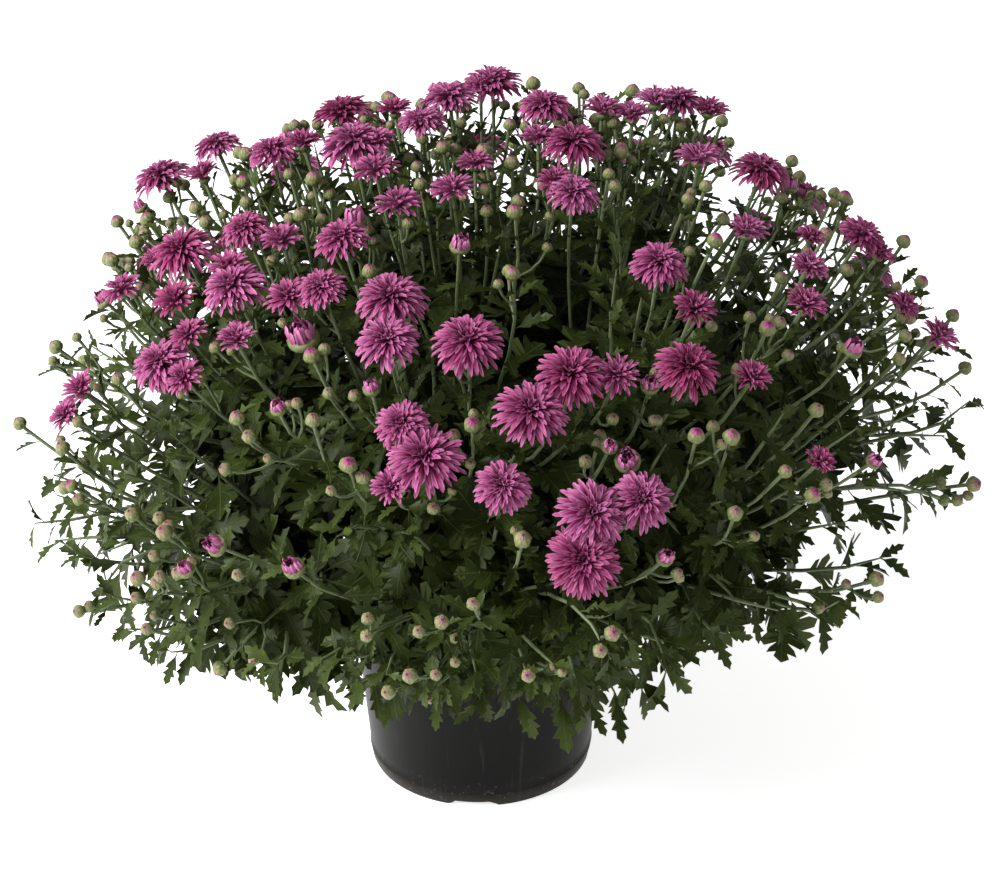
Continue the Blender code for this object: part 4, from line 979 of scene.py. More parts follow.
class Finish:
    """A new material: the coordinates that it reads, and the shader that it sets."""

    def __init__(self, name):
        self.material = bpy.data.materials.new(name)
        self.material.use_nodes = True
        self.tree = self.material.node_tree
        self.shader = self.tree.nodes["Principled BSDF"]
        self.start = Value(self.tree, None)

    def place(self):
        """Object coordinates, in metres."""
        return self.start.node("ShaderNodeTexCoord", None, output=3)

    def uv(self):
        """The piece's own map, as across and along."""
        across, along, _ = self.start.node("ShaderNodeUVMap", {"uv_map": "UVMap"}).parts()
        return across, along

    def marks(self):
        """The three marks of each copy."""
        settings = {"attribute_name": "marks"}
        return self.start.node("ShaderNodeAttribute", settings, output=1).parts()

    def underside(self):
        """One on the underside of a leaf or petal."""
        return self.start.node("ShaderNodeAttribute", {"attribute_name": "underside"}, output=2)

    def bump(self, height, strength, distance):
        """A normal that follows a height."""
        inputs = {"Height": height, "Strength": strength, "Distance": distance}
        return self.start.node("ShaderNodeBump", None, **inputs)

    def done(self, **sockets):
        """Sets the shader's sockets to values or links, and gives the material."""
        for name, value in sockets.items():
            socket = self.shader.inputs[name.replace("_", " ")]
            if isinstance(value, Value):
                self.tree.links.new(value.socket, socket)
            else:
                socket.default_value = value
        return self.material


def petal_finish(settings):
    """Soft petals: deeper at roots and in the heart, with painted shade there; paler to their tips and
    undersides, the tips and edges partly a painted highlight; finely veined.
    """
    finish = Finish("Soft_petals")
    across, along = finish.uv()
    tone, heart, warmth = finish.marks()
    cloud = finish.place().noise(220.0, 2.0)
    veins = (across * 40.0).maths("SINE") * 0.5 + 0.5
    main = warmth.mix(settings.petal_colour, settings.petal_warm_colour)
    # Painted shade: petals darken towards their roots and in the heart, over the inner petals' own deeper
    # colour.
    depth = (heart * 0.50 + (1 - along) * 0.80 + tone * 0.30 - cloud * 0.25).ramp(0.10, 1.10)
    base = depth.mix(main, settings.petal_deep_and_shade_colour)
    # Paler edges and tips are partly a painted highlight; the paler undersides are the petals' own colour.
    edge = (across - 0.5).maths("ABSOLUTE").ramp(0.15, 0.5)
    pale_and_highlight_share = edge * 0.40 + along.ramp(0.55, 1.0) * 0.40 + tone * 0.20 + finish.underside() * 0.45 - 0.14
    pale_and_highlight = pale_and_highlight_share * (1 - heart * 0.4) * (1 - warmth * 0.45) - veins * 0.08
    return finish.done(
        Base_Color=pale_and_highlight.mix(base, settings.petal_pale_and_highlight_colour),
        Roughness=0.46 + 0.18 * cloud,
        Normal=finish.bump(veins * 0.6 + cloud, 0.35, 0.0004),
        Subsurface_Weight=0.06,
        Subsurface_Radius=(1.0, 0.25, 0.5),
        Subsurface_Scale=0.0012,
        Specular_IOR_Level=0.25,
    )


def leaf_finish(settings):
    """Leaves: dark and slightly glossy above, pale below, with a light rib and side veins to each lobe."""
    finish = Finish("Lobed_leaf")
    across, along = finish.uv()
    tone, outer, yellow = finish.marks()
    place = finish.place()
    off = (across - 0.5).maths("ABSOLUTE")
    rib = 1 - off.ramp(0.004, 0.020)
    side_vein = ((along - off * 0.55) * 34.0).maths("SINE").ramp(0.86, 1.0) * (1 - off.ramp(0.16, 0.30))
    vein = rib.maths("MAXIMUM", side_vein * 0.55)
    mottle = place.noise(70.0, 4.0)
    fine = place.noise(900.0, 2.0)
    fresh = (outer * 0.60 + tone * 0.55 + mottle * 0.6 - 0.62).ramp(0.0, 1.0)
    green = fresh.mix(settings.leaf_colour, settings.leaf_fresh_colour)
    veined = (vein * 0.38).mix(green, settings.vein_colour)
    below = (finish.underside() * 0.70).mix(veined, settings.underside_colour)
    aged = (yellow * (0.55 + 0.6 * mottle)).mix(below, settings.yellow_colour)
    return finish.done(
        Base_Color=aged,
        Roughness=0.34 + 0.24 * mottle,
        Normal=finish.bump(vein + mottle * 0.8 + fine * 0.25, 0.6, 0.0006),
        Specular_IOR_Level=0.12,
    )


def stalk_finish(settings):
    """Stalks: pale grey green with long ridges, browner and woodier towards the soil."""
    finish = Finish("Green_stalk")
    around, _ = finish.uv()
    tone, _, _ = finish.marks()
    place = finish.place()
    height = place.parts()[2]
    streak = place.stretched(900.0, 900.0, 60.0).noise(1.0, 3.0)
    wood = 1 - (height + streak * 0.03).ramp(0.125, 0.185)
    green = (tone * 0.5 + streak * 0.7 - 0.1).mix(settings.stalk_colour, settings.stalk_pale_colour)
    ridges = (around * 18.0).maths("SINE")
    return finish.done(
        Base_Color=wood.mix(green, settings.wood_colour),
        Roughness=0.55 + 0.15 * streak,
        Normal=finish.bump(ridges * 0.5 + streak, 0.4, 0.0004),
        Specular_IOR_Level=0.35,
    )


def bud_finish(foliage, blooms):
    """Buds: rows of overlapping green bracts with cream edges, each row half a bract on from the one below.

    They turn cream to the top, and pink where the bud is opening, round a dark middle that is painted shade
    of the opening."""
    finish = Finish("Bracted_bud")
    around, along = finish.uv()
    tone, pink, cup = finish.marks()
    cloud = finish.place().noise(400.0, 2.0)
    row = along * 4.0
    turn = around * 25.0 + row.maths("FLOOR") * math.pi
    bract = turn.maths("SINE") * 0.30 + row.maths("FRACT") * 0.55 + 0.30
    green = (tone * 0.6 + cloud * 0.5).mix(foliage.bud_colour, foliage.bud_pale_colour)
    bud = 1 - cup
    cream = along.ramp(0.30, 0.90) * 0.55 * bud + bract.ramp(0.45, 1.0) * 0.45 * (1 - cup * 0.5)
    edged = cream.mix(green, foliage.bud_cream_colour)
    blushed = (along.ramp(0.60, 0.85) * (0.18 + pink * 0.82) * bud).mix(edged, blooms.petal_colour)
    # Painted shade: the tip darkens to the petals' deep colour, standing for the shade in the bud's opening.
    skin = (along.ramp(0.90, 0.97) * 0.8 * bud).mix(blushed, blooms.petal_deep_and_shade_colour)
    return finish.done(
        Base_Color=skin,
        Roughness=0.50 + 0.15 * cloud,
        Normal=finish.bump(bract + cloud * 0.4, 0.7, 0.0007),
        Specular_IOR_Level=0.4,
    )


def plastic_finish(settings):
    """Moulded black plastic: fine grain, long scuffs, and pale dust that gathers towards the foot."""
    finish = Finish("Moulded_plastic")
    place = finish.place()
    height = place.parts()[2]
    grain = place.noise(1400.0, 2.0)
    smear = place.stretched(1.0, 1.0, 0.22).noise(38.0, 4.0)
    speck = place.noise(420.0, 1.0).ramp(0.62, 0.74)
    scuff = place.stretched(260.0, 260.0, 9.0).noise(1.0, 2.0).ramp(0.60, 0.80)
    foot = 1 - (height + smear * 0.010).ramp(0.008, 0.030)
    band = 1 - height.ramp(0.0098, 0.0104)
    dust = (smear * 0.50 + foot * 0.35 + band * 0.12 - 0.32) * settings.dust + speck * foot * 0.35
    skin = (dust + scuff * 0.10).mix(settings.plastic_colour, settings.dust_colour)
    relief = grain * 0.5 + scuff * 0.5
    return finish.done(
        Base_Color=skin,
        Roughness=0.36 + 0.30 * dust.clamped() + 0.06 * smear,
        Normal=finish.bump(relief, 0.12, 0.0003),
        Specular_IOR_Level=0.095,
    )


def soil_finish(settings):
    """Potting soil: dark crumbs of peat with paler bark and a few white grains."""
    finish = Finish("Potting_soil")
    place = finish.place()
    crumb = place.noise(160.0, 5.0, 0.65)
    bark = place.noise(60.0, 3.0).ramp(0.52, 0.64)
    grain = place.noise(330.0, 1.0).ramp(0.70, 0.74)
    dark = crumb.mix(WET_PEAT, settings.soil_colour)
    mixed = (bark * 0.5).mix(dark, BARK_CHIP)
    skin = grain.mix(mixed, WHITE_GRAIN)
    return finish.done(
        Base_Color=skin,
        Roughness=0.85 + 0.10 * crumb,
        Normal=finish.bump(crumb, 0.9, 0.003),
        Specular_IOR_Level=0.2,
    )


def paper_finish(settings):
    """The floor's plain pale paper, with a barely visible tooth."""
    finish = Finish("Pale_paper")
    tooth = finish.place().noise(9.0, 3.0)
    hollow = [TOOTH_SHADE * value for value in settings.floor_colour]
    return finish.done(
        Base_Color=tooth.mix(hollow, settings.floor_colour),
        Roughness=0.85,
        Specular_IOR_Level=0.1,
        Emission_Color=(1.0, 1.0, 1.0, 1.0),
        Emission_Strength=settings.floor_glow,
    )


def wall_radius(height):
    """The pot wall's outer radius, which widens evenly from foot to mouth."""
    return POT_FOOT_RADIUS + (POT_MOUTH_RADIUS - POT_FOOT_RADIUS) * height / POT_HEIGHT


def pot_profile():
    """The pot's half section as in the part, with short chamfers at its corners and its long runs split."""
    rim_foot = POT_HEIGHT - RIM_BAND
    foot_in = POT_FOOT_RADIUS - FOOT_RING
    floor = CHANNEL_RISE + POT_WALL
    inner_wall = wall_radius(rim_foot) - POT_WALL
    corners = np.array(
        [
            (0.0001, 0.0),
            (CENTRE_PAD - 0.0006, 0.0),
            (CENTRE_PAD + 0.0003, 0.0006),
            (CENTRE_PAD + 0.0026, CHANNEL_RISE - 0.0005),
            (CENTRE_PAD + 0.0036, CHANNEL_RISE),
            (foot_in - 0.0026, CHANNEL_RISE),
            (foot_in - 0.0016, CHANNEL_RISE - 0.0006),
            (foot_in, 0.0),
            (POT_FOOT_RADIUS - 0.0016, 0.0),
            (POT_FOOT_RADIUS - 0.0005, 0.0004),
            (POT_FOOT_RADIUS, 0.0015),
            (wall_radius(BASE_BAND) + BASE_BAND_STEP, BASE_BAND - 0.0004),
            (wall_radius(BASE_BAND) + 0.6 * BASE_BAND_STEP, BASE_BAND),
            (wall_radius(BASE_BAND), BASE_BAND + BASE_BAND_STEP),
            (wall_radius(rim_foot) - 0.0003, rim_foot - 0.0045),
            (wall_radius(rim_foot) + 0.0004, rim_foot - 0.0026),
            (RIM_RADIUS - 0.0026, rim_foot - 0.0008),
            (RIM_RADIUS - 0.0010, rim_foot),
            (RIM_RADIUS - 0.0006, rim_foot + 0.0008),
            (RIM_RADIUS, POT_HEIGHT - 0.0022),
            (RIM_RADIUS - 0.0004, POT_HEIGHT - 0.0010),
            (RIM_RADIUS - 0.0012, POT_HEIGHT - 0.0002),
            (RIM_RADIUS - 0.0022, POT_HEIGHT),
            (RIM_RADIUS - 0.0032, POT_HEIGHT - 0.0006),
            (RIM_RADIUS - 0.0040, POT_HEIGHT - 0.003),
            (inner_wall, rim_foot),
            (wall_radius(floor) - POT_WALL - 0.001, floor),
            (CENTRE_PAD + 0.002, floor),
            (CENTRE_PAD - 0.001, POT_WALL),
            (0.0001, POT_WALL),
        ]
    )
    lengths = np.linalg.norm(np.diff(corners, axis=0), axis=1)
    counts = np.maximum(1, np.ceil(lengths / POT_STEP_LENGTH)).astype(int)
    runs = [np.linspace(a, b, n, endpoint=False) for a, b, n in zip(corners[:-1], corners[1:], counts)]
    return np.vstack([*runs, corners[-1:]])


def pot_mesh():
    """The pot: its profile turned about the upright axis. A notch lifts the foot's lowest points:

    height = max(profile height, notch rise), where the rise falls to zero over a slope at either side."""
    radius, height = pot_profile().T
    angles = FULL_TURN * np.arange(POT_STEPS) / POT_STEPS
    period = FULL_TURN / NOTCH_COUNT
    offset = np.abs((angles - FIRST_NOTCH_ANGLE + period / 2) % period - period / 2) * POT_FOOT_RADIUS
    rise = NOTCH_RISE * np.clip((NOTCH_WIDTH / 2 - offset) / NOTCH_SLOPE, 0, 1)
    in_ring = (radius > POT_FOOT_RADIUS - 1.6 * FOOT_RING) & (height < NOTCH_RISE) & (radius < RIM_RADIUS)
    z = np.where(in_ring[:, None], np.maximum(height[:, None], rise), height[:, None])
    grid = np.stack([radius[:, None] * np.cos(angles), radius[:, None] * np.sin(angles), z], axis=-1)
    faces, _ = skin_faces(len(radius), POT_STEPS)
    return grid.reshape(-1, 3), faces


def drill_drains(pot):
    """Cuts the round drain holes in the raised part of the floor, midway between the notches."""
    angles = FIRST_NOTCH_ANGLE + FULL_TURN * (0.5 + np.arange(NOTCH_COUNT)) / NOTCH_COUNT
    middles = DRAIN_CIRCLE * np.stack([np.cos(angles), np.sin(angles), 0 * angles], axis=1)
    paths = middles[:, None] + np.array(DRAIN_REACH)[:, None] * UP
    grid = tube_grid(paths, np.full(paths.shape[:2], DRAIN_RADIUS), DRAIN_SIDES)
    faces, _ = skin_faces(2, DRAIN_SIDES)
    faces = faces + 2 * DRAIN_SIDES * np.arange(NOTCH_COUNT)[:, None, None]
    mesh = bpy.data.meshes.new("drain_cutter")
    mesh.from_pydata(grid.reshape(-1, 3).tolist(), [], faces.reshape(-1, 4).tolist())
    cutter = bpy.data.objects.new("drain_cutter", mesh)
    bpy.context.scene.collection.objects.link(cutter)
    hole = pot.modifiers.new("Drain holes", "BOOLEAN")
    hole.operation = "DIFFERENCE"
    hole.solver = "EXACT"
    hole.object = cutter
    bpy.context.view_layer.update()
    cut = bpy.data.meshes.new_from_object(pot.evaluated_get(bpy.context.evaluated_depsgraph_get()))
    pot.modifiers.clear()
    pot.data = cut
    cut.set_sharp_from_angle(angle=SHARP_CORNER)
    bpy.data.objects.remove(cutter, do_unlink=True)


def soil_mesh(rng):
    """Lumpy soil: a polar grid whose height is a sum of waves in x and y, closed by a wall and a floor."""
    floor = CHANNEL_RISE + POT_WALL + SOIL_TO_FLOOR
    share = np.linspace(1, SOIL_MIDDLE, SOIL_RINGS)
    angles = FULL_TURN * np.arange(SOIL_SIDES) / SOIL_SIDES
    radius = (wall_radius(SOIL_LEVEL) - POT_WALL - SOIL_TO_WALL) * share
    x, y = radius[:, None] * np.cos(angles), radius[:, None] * np.sin(angles)
    waves = rng.normal(size=(SOIL_WAVES, 2)) * SOIL_WAVE_NUMBER
    heights = sum(np.sin(a * x + b * y + i) for i, (a, b) in enumerate(waves)) / SOIL_WAVES
    fade = np.clip((1 - share) / SOIL_EDGE, 0, 1)[:, None]
    z = SOIL_LEVEL + SOIL_LUMP * heights * fade
    top = np.stack([x, y, z], axis=-1)
    low = wall_radius(floor) - POT_WALL - SOIL_TO_WALL
    base = np.stack([low * np.cos(angles), low * np.sin(angles), floor + 0 * angles], axis=-1)[None]
    grid = np.concatenate([base, top])
    faces, _ = skin_faces(len(grid), SOIL_SIDES)
    return grid.reshape(-1, 3), faces


class PlasticPotSettings(bpy.types.PropertyGroup):
    """Finish of the pot and the soil in it."""

    plastic_colour: FloatVectorProperty(
        name="Plastic", description="Colour of the clean plastic",
        subtype="COLOR", default=(0.0036, 0.0036, 0.0033),
    )
    dust_colour: FloatVectorProperty(
        name="Dust", description="Colour of dry dust on the plastic",
        subtype="COLOR", default=(0.17, 0.15, 0.12),
    )
    dust: FloatProperty(
        name="Dustiness", description="How much dust lies on the pot",
        subtype="FACTOR", default=0.25, min=0, max=1,
    )
    soil_colour: FloatVectorProperty(
        name="Soil", description="Colour of the dry crumbs of soil",
        subtype="COLOR", default=(0.055, 0.036, 0.022),
    )


class FoliageSettings(bpy.types.PropertyGroup):
    """Sizes and colours of leaves, stalks and buds."""

    leaf_length: FloatProperty(
        name="Leaf length", description="Length of the largest leaves", unit="LENGTH", default=0.052
    )
    leaf_spacing: FloatProperty(
        name="Leaf spacing", description="Distance between leaves along a shoot",
        unit="LENGTH", default=0.0105,
    )
    bare_stem: FloatProperty(
        name="Bare stem", description="Share of a shoot, from its root, that has no leaves",
        default=0.16, min=0, max=1,
    )
    inner_leaves: IntProperty(
        name="Inner leaves", description="Large leaves low on each main stem", default=16, min=0
    )
    leaf_colour: FloatVectorProperty(
        name="Leaf", description="Colour of the dark older leaves",
        subtype="COLOR", default=(0.017, 0.027, 0.0034),
    )
    leaf_fresh_colour: FloatVectorProperty(
        name="Young leaf", description="Colour of young outer leaves",
        subtype="COLOR", default=(0.053, 0.078, 0.013),
    )
    underside_colour: FloatVectorProperty(
        name="Leaf underside", description="Colour below a leaf",
        subtype="COLOR", default=(0.064, 0.086, 0.026),
    )
    yellow_colour: FloatVectorProperty(
        name="Yellow leaf", description="Colour of the one ageing leaf",
        subtype="COLOR", default=(0.105, 0.115, 0.008),
    )
    vein_colour: FloatVectorProperty(
        name="Vein", description="Colour of ribs and veins",
        subtype="COLOR", default=(0.085, 0.110, 0.040),
    )
    stalk_colour: FloatVectorProperty(
        name="Stalk", description="Colour of the stalks", subtype="COLOR", default=(0.070, 0.100, 0.032)
    )
    stalk_pale_colour: FloatVectorProperty(
        name="Pale stalk", description="Colour of paler streaks on stalks",
        subtype="COLOR", default=(0.165, 0.205, 0.105),
    )
    wood_colour: FloatVectorProperty(
        name="Woody stem", description="Colour of the stems near the soil",
        subtype="COLOR", default=(0.070, 0.052, 0.025),
    )
    bud_colour: FloatVectorProperty(
        name="Bud", description="Colour of the bracts of a young bud",
        subtype="COLOR", default=(0.065, 0.095, 0.022),
    )
    bud_pale_colour: FloatVectorProperty(
        name="Pale bud", description="Colour of paler bracts",
        subtype="COLOR", default=(0.112, 0.142, 0.042),
    )
    bud_cream_colour: FloatVectorProperty(
        name="Bud tip", description="Colour of bract edges and bud tops",
        subtype="COLOR", default=(0.275, 0.268, 0.115),
    )


class BloomSettings(bpy.types.PropertyGroup):
    """Colours of the petals."""

    petal_colour: FloatVectorProperty(
        name="Petal", description="Main colour of the petals",
        subtype="COLOR", default=(0.285, 0.034, 0.150),
    )
    petal_warm_colour: FloatVectorProperty(
        name="Warm petal", description="Colour of the redder blooms",
        subtype="COLOR", default=(0.26, 0.014, 0.090),
    )
    # The petals' deep colour, also used as painted shade at petal roots, in the heart and at bud tips.
    petal_deep_and_shade_colour: FloatVectorProperty(
        name="Deep petal and shade", description="Colour at the roots",
        subtype="COLOR", default=(0.072, 0.0025, 0.030),
    )
    # The petals' pale colour, partly a painted highlight on their edges and tips; the undersides are their
    # own paler colour.
    petal_pale_and_highlight_colour: FloatVectorProperty(
        name="Pale petal and highlight", description="Colour of edges and undersides",
        subtype="COLOR", default=(0.66, 0.25, 0.47),
    )


class StudioSettings(bpy.types.PropertyGroup):
    """Floor and lights of the picture."""

    floor_colour: FloatVectorProperty(
        name="Floor", description="Colour of the paper floor",
        subtype="COLOR", default=(0.93, 0.93, 0.93),
    )
    key_power: FloatProperty(
        name="Key light", description="Power of the large light at the upper left",
        unit="POWER", default=102.0,
    )
    fill_power: FloatProperty(
        name="Fill light", description="Power of the soft light at the right", unit="POWER", default=3.0
    )
    floor_glow: FloatProperty(
        name="Floor glow", description="Light that the floor gives off by itself", default=0.74, min=0
    )
    sky_strength: FloatProperty(
        name="Surroundings", description="Strength of the even light all round", default=0.37, min=0
    )


GROWN = {}


def shoots():
    """All the shoots, worked out once."""
    if "shoots" not in GROWN:
        GROWN["shoots"] = Shoots(np.random.default_rng(SEED + 1))
    return GROWN["shoots"]


class PotOperator(bpy.types.Operator):
    """Makes the moulded pot"""

    bl_idname = "potted_plant.make_pot"
    bl_label = "Make pot"

    def execute(self, context):
        finish = plastic_finish(context.scene.plastic_pot)
        pot = new_piece("nursery_pot", *pot_mesh(), [finish], "pot_plastic", ["pot"])
        drill_drains(pot)
        return {"FINISHED"}


class SoilOperator(bpy.types.Operator):
    """Makes the potting soil"""

    bl_idname = "potted_plant.make_soil"
    bl_label = "Make soil"

    def execute(self, context):
        finish = soil_finish(context.scene.plastic_pot)
        lumps = soil_mesh(np.random.default_rng(SEED + 2))
        new_piece("potting_soil", *lumps, [finish], "soil", ["soil"])
        return {"FINISHED"}


class StalksOperator(bpy.types.Operator):
    """Makes the main stems, the shoots, the buds and the cups under the blooms"""

    bl_idname = "potted_plant.make_stalks"
    bl_label = "Make stalks and buds"

    def execute(self, context):
        foliage = context.scene.foliage
        rng = np.random.default_rng(SEED + 3)
        materials = [stalk_finish(foliage), bud_finish(foliage, context.scene.blooms)]
        grown = shoots()
        skins = [Skins() for _ in STEMS]
        add_main_stems(skins, rng)
        add_shoot_stalks(skins, grown, rng)
        add_cups(skins, rng)
        add_buds(skins, grown, rng)
        for stem, gathered in enumerate(skins):
            gathered.make(f"stalks_and_buds_{stem + 1:02d}", materials, "foliage", [stem_node(stem)])
        return {"FINISHED"}


def add_main_stems(skins, rng):
    """The main stems, from below the soil up to where the last shoot leaves."""
    shares = np.linspace(0, STEM_STOPS, STEM_ROWS)
    for stem, direction in enumerate(STEMS):
        path = np.vstack([grow(direction, 0.0) - STEM_DEPTH * UP, grow(direction, shares)])[None]
        radii = np.linspace(*STEM_RADII, STEM_ROWS + 1)[None]
        grid = tube_grid(path, radii, STEM_SIDES)
        skins[stem].add(grid, tube_uv(STEM_ROWS + 1, STEM_SIDES), [(rng.uniform(), 0, 0)])


def add_shoot_stalks(skins, grown, rng):
    """A tapering stalk along each shoot, wider where it leaves the main stem and under a bloom."""
    shares = np.linspace(0, 1, SHOOT_ROWS)
    paths = bezier(grown.corners, shares)
    for stem in range(len(STEMS)):
        mine = np.flatnonzero(grown.stem == stem)
        radii = np.tile(np.linspace(*SHOOT_RADII, SHOOT_ROWS), (len(mine), 1))
        radii[:, -1] *= [SHOOT_FLARES[kind] for kind in grown.kind[mine]]
        marks = np.stack([rng.uniform(size=len(mine)), np.ones(len(mine)), np.zeros(len(mine))], axis=1)
        skins[stem].add(tube_grid(paths[mine], radii, STALK_SIDES), tube_uv(SHOOT_ROWS, STALK_SIDES), marks)


def add_cups(skins, rng):
    """The green cup of bracts under each bloom: a short turned shape whose edge is scalloped."""
    swell = np.ones((len(CUP_PROFILE), CUP_SIDES, 1))
    swell[CUP_EDGE] = ribbed(*CUP_SCALLOPS, CUP_SIDES)
    for place, axis, radius in BLOOMS:
        cup = turned_grid(place, axis, radius, CUP_PROFILE, CUP_SIDES, swell)
        skins[nearest_stem(place)].add(*cup, [(rng.uniform(), 0.0, 1.0)], slot=1)


def add_bud(skins, place, way, radius, pink, rng):
    """One closed bud: turned about its way, with shallow bract ribs."""
    bud = turned_grid(place, way, radius, BUD_PROFILE, BUD_SIDES, ribbed(*BUD_RIBS, BUD_SIDES))
    skins.add(*bud, [(rng.uniform(), pink, 0)], slot=1)


def add_side_bud(skins, root, ahead, reach, rng):
    """A small bud on a side stalk, which leaves its shoot slantwise and bends up beside it."""
    side = spiral(ahead[None], rng.uniform(0, FULL_TURN, 1))[0]
    tip = root + reach * (rng.uniform(0.35, 0.6) * side + rng.uniform(0.75, 0.95) * ahead)
    final = unit(ahead + 0.25 * side + 0.35 * UP)
    corners = np.array([[root, root + reach * (0.30 * side + 0.15 * ahead), tip - 0.30 * reach * final, tip]])
    rows = len(SIDE_STALK_RADII)
    twig = bezier(corners, np.linspace(0, 1, rows))
    grid = tube_grid(twig, np.array([SIDE_STALK_RADII]), STALK_SIDES)
    skins.add(grid, tube_uv(rows, STALK_SIDES), [(rng.uniform(), 1.0, 0)])
    add_bud(skins, tip, final, rng.uniform(*SIDE_BUD_RADII), rng.uniform(0, SIDE_BUD_BLUSH), rng)


def add_buds(skins, grown, rng):
    """A bud at the end of each bud shoot, and smaller ones on side stalks below it and below the blooms.

    An opening bud has a green cup that swells from its stalk to an open rim."""
    shares = np.linspace(0, 1, PATH_POINTS)
    paths = bezier(grown.corners, shares)
    ends = iter(grown.buds)
    for path, stem, kind in zip(paths, grown.stem, grown.kind):
        if not SIDE_BUD_LIMITS[kind]:
            continue
        reach = np.linalg.norm(np.diff(path, axis=0), axis=1).sum()
        if kind == "bud":
            _, way, radius, pink = next(ends)
            if radius < OPENING_BUD:
                add_bud(skins[stem], path[-1], way, radius, pink, rng)
            else:
                calyx = turned_grid(path[-1], way, radius, CALYX_PROFILE, CALYX_SIDES)
                skins[stem].add(*calyx, [(rng.uniform(), 0.0, CALYX_CUP)], slot=1)
        for _ in range(rng.integers(0, SIDE_BUD_LIMITS[kind])):
            down = rng.uniform(*SIDE_BUD_DOWN)
            root, ahead = along_path(path, shares, np.array([max(SIDE_BUD_LOWEST, 1 - down / reach)]))
            length = min(down, SIDE_BUD_REACH) * rng.uniform(0.7, 1.0)
            add_side_bud(skins[stem], root[0], ahead[0], length, rng)


class LeavesOperator(bpy.types.Operator):
    """Makes the lobed leaves of every shoot"""

    bl_idname = "potted_plant.make_leaves"
    bl_label = "Make leaves"

    def execute(self, context):
        foliage = context.scene.foliage
        rng = np.random.default_rng(SEED + 4)
        material = leaf_finish(foliage)
        roots, ways, faces, lengths, stems = plan_leaves(shoots(), foliage, rng)
        shapes = rng.uniform(*LEAF_SHAPES, (len(roots), len(LEAF_SHAPES[0])))
        tones = rng.uniform(size=len(roots))
        forms = np.digitize(lengths, (NARROW_LEAF, LOBED_LEAF))
        for stem in range(len(STEMS)):
            gathered = Skins()
            for form, rows in enumerate((BRACT_ROWS, NARROW_ROWS, LOBED_ROWS)):
                mine = np.flatnonzero((stems == stem) & (forms == form))
                grid, uv = leaf_grid(rows, roots[mine], ways[mine], faces[mine], lengths[mine], shapes[mine])
                flat = grid.reshape(len(mine), -1, 3)
                kept = ~(bloom_conflict(flat) | box_conflict(flat))
                outer = np.clip((dome_level(roots[mine]) - OUTER_LEVEL) / (1 - OUTER_LEVEL), 0, 1)
                middle = grid.mean(axis=(1, 2))
                yellow = (sight_gap(middle, *YELLOW_LEAF) < YELLOW_REACH) & (middle[:, 1] < YELLOW_DEPTH)
                marks = np.stack([tones[mine], outer, yellow], axis=1)
                gathered.add(grid[kept], uv, marks[kept])
            gathered.make(f"leaves_{stem + 1:02d}", [material], "foliage", [stem_node(stem)])
        return {"FINISHED"}


def add_petals(skins, place, axis, radius, rng):
    """A bloom's layers of petals. A small bloom has fewer and stands more closed than a large one."""
    small = radius < SMALL_BLOOM
    layers = SMALL_LAYERS if small else FULL_LAYERS
    spread = rng.normal(0, PETAL_OPENING_JITTER) - (rng.uniform(*SMALL_CLOSED) if small else 0)
    width = PETAL_WIDTH + PETAL_WIDTH_SHARE * radius
    warmth = rng.uniform(0, 1) ** WARMTH_POWER
    for depth, layer in enumerate(layers):
        grid, uv = petal_grid(place, axis, radius, layer, spread, width, rng)
        heart = (depth / (len(layers) - 1)) ** HEART_POWER
        skins.add(grid, uv, petal_marks(len(grid), heart, warmth, rng))


def petal_marks(count, heart, warmth, rng):
    """The marks of a layer's petals: a tone for each, how near the heart they are, and the bloom's warmth."""
    return np.stack([rng.uniform(size=count), np.full(count, heart), np.full(count, warmth)], axis=1)


def add_opening_petals(skins, foot, way, radius, rng):
    """The incurved petals of an opening bud, which close over a dark hollow."""
    for depth, layer in enumerate(OPENING_LAYERS):
        grid, uv = petal_grid(foot, way, radius, layer, 0, OPENING_PETAL * radius, rng)
        skins.add(grid, uv, petal_marks(len(grid), 0.5 * depth, OPENING_WARMTH, rng))


class BloomsOperator(bpy.types.Operator):
    """Makes the open blooms and the pink tips of the opening buds"""

    bl_idname = "potted_plant.make_blooms"
    bl_label = "Make blooms"

    def execute(self, context):
        rng = np.random.default_rng(SEED + 5)
        material = petal_finish(context.scene.blooms)
        nodes = bloom_nodes()
        gathered = [Skins() for _ in STEMS]
        held = [set() for _ in STEMS]
        for number, (place, axis, radius) in enumerate(BLOOMS):
            stem = nearest_stem(place)
            held[stem].add(nodes[number])
            add_petals(gathered[stem], place, axis, radius, rng)
        for place, way, radius, _ in shoots().buds:
            if radius >= OPENING_BUD:
                foot = place - BUD_FOOT * radius * way
                add_opening_petals(gathered[nearest_stem(place)], foot, way, radius, rng)
        for stem, skins in enumerate(gathered):
            if skins.count:
                skins.make(f"blooms_of_stem_{stem + 1:02d}", [material], "petals", sorted(held[stem]))
        return {"FINISHED"}


class StudioOperator(bpy.types.Operator):
    """Makes the floor, the lights and the camera"""

    bl_idname = "potted_plant.make_studio"
    bl_label = "Make studio"

    def execute(self, context):
        settings = context.scene.studio
        add_floor(settings)
        add_light("Key_light", KEY_PLACE, KEY_SIZE, settings.key_power)
        add_light("Fill_light", FILL_PLACE, FILL_SIZE, settings.fill_power)
        add_surroundings(settings)
        add_camera()
        context.scene.view_settings.view_transform = "Standard"
        return {"FINISHED"}


def add_floor(settings):
    """A wide plain floor at the pot's underside."""
    low, high = -FLOOR_HALF_WIDTH, FLOOR_HALF_WIDTH
    mesh = bpy.data.meshes.new("paper_floor")
    mesh.from_pydata([(low, low, 0), (high, low, 0), (high, high, 0), (low, high, 0)], [], [(0, 1, 2, 3)])
    mesh.materials.append(paper_finish(settings))
    floor = bpy.data.objects.new("paper_floor", mesh)
    bpy.context.scene.collection.objects.link(floor)


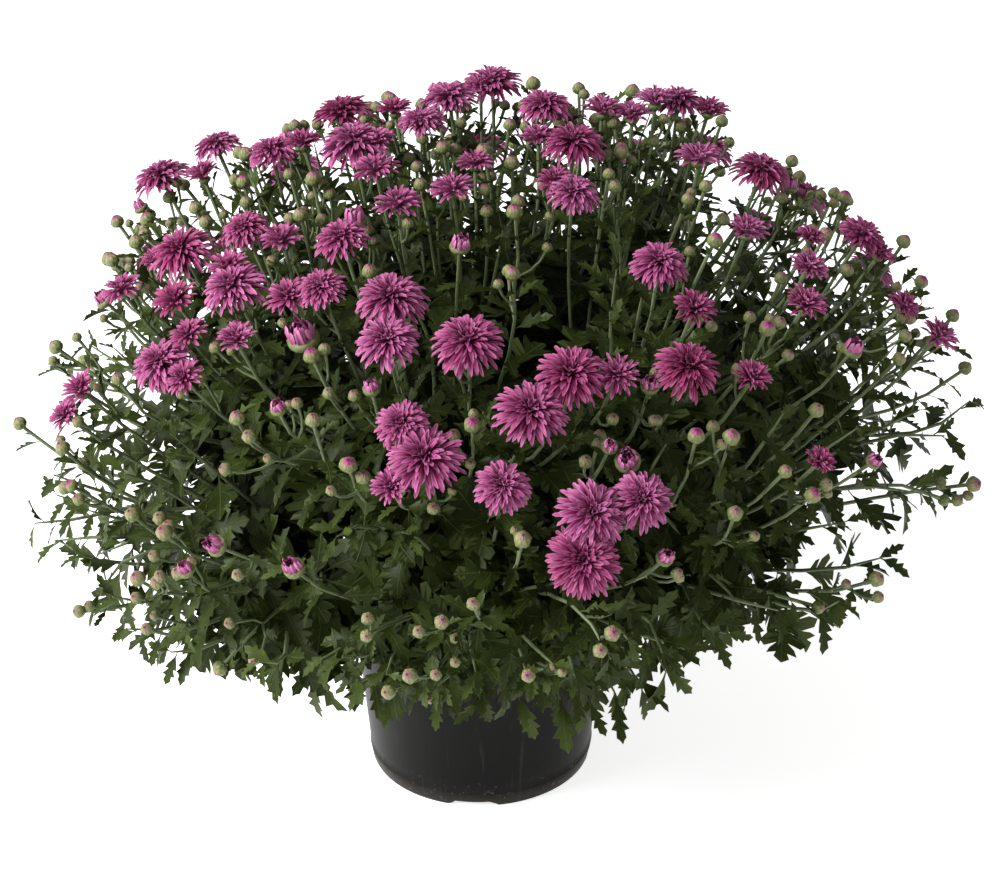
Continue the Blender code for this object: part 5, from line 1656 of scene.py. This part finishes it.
def set_up(data, right, above, back, place):
    """A light or camera at a place, with its own right, upward and backward axes."""
    matrix = np.eye(4)
    matrix[:3] = np.stack([right, above, back, place], axis=1)
    made = bpy.data.objects.new(data.name, data)
    made.matrix_world = Matrix(matrix.tolist())
    bpy.context.scene.collection.objects.link(made)
    return made


def add_light(name, place, size, power):
    """A square soft light that looks at the plant."""
    lamp = bpy.data.lights.new(name, "AREA")
    lamp.size = size
    lamp.energy = power
    back = unit(np.subtract(place, LIGHT_TARGET))
    right = unit(np.cross(UP, back))
    set_up(lamp, right, np.cross(back, right), back, place)


def add_surroundings(settings):
    """Even pale light all round."""
    world = bpy.data.worlds.new("Pale_surroundings")
    world.use_nodes = True
    background = world.node_tree.nodes["Background"]
    background.inputs["Color"].default_value = (1.0, 1.0, 1.0, 1)
    background.inputs["Strength"].default_value = settings.sky_strength
    bpy.context.scene.world = world


def add_camera():
    """The camera, at the photograph's viewing angle."""
    right, above, forward = view_axes()
    lens = bpy.data.cameras.new("Camera")
    lens.sensor_width = SENSOR_WIDTH
    lens.lens = SENSOR_WIDTH * VIEW_FOCAL / VIEW_WIDTH
    lens.clip_end = VIEW_LIMIT
    bpy.context.scene.camera = set_up(lens, right, above, -forward, view_eye())


class ChrysanthemumPanel(bpy.types.Panel):
    """Lists the settings and the steps of the plant."""

    bl_idname = "VIEW3D_PT_pot_chrysanthemum"
    bl_label = "Pot chrysanthemum"
    bl_space_type = "VIEW_3D"
    bl_region_type = "UI"
    bl_category = "Chrysanthemum"

    def draw(self, context):
        scene = context.scene
        for group in (scene.plastic_pot, scene.foliage, scene.blooms, scene.studio):
            box = self.layout.box()
            for name in group.__annotations__:
                box.prop(group, name)
        for step in STEPS:
            self.layout.operator(step.bl_idname)


STEPS = (PotOperator, SoilOperator, StalksOperator, LeavesOperator, BloomsOperator, StudioOperator)
GROUPS = {
    "plastic_pot": PlasticPotSettings,
    "foliage": FoliageSettings,
    "blooms": BloomSettings,
    "studio": StudioSettings,
}


def register():
    """Registers the settings, the steps and the panel."""
    for group in GROUPS.values():
        bpy.utils.register_class(group)
    for name, group in GROUPS.items():
        setattr(bpy.types.Scene, name, PointerProperty(type=group))
    for step in (*STEPS, ChrysanthemumPanel):
        bpy.utils.register_class(step)


def unregister():
    """Removes the panel, the steps and the settings."""
    for step in (ChrysanthemumPanel, *reversed(STEPS)):
        bpy.utils.unregister_class(step)
    for name in GROUPS:
        delattr(bpy.types.Scene, name)
    for group in reversed(GROUPS.values()):
        bpy.utils.unregister_class(group)


def main():
    """Makes the plant step by step."""
    register()
    bpy.ops.potted_plant.make_pot()
    bpy.ops.potted_plant.make_soil()
    bpy.ops.potted_plant.make_stalks()
    bpy.ops.potted_plant.make_leaves()
    bpy.ops.potted_plant.make_blooms()
    bpy.ops.potted_plant.make_studio()
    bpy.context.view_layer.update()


if __name__ == "__main__":
    main()
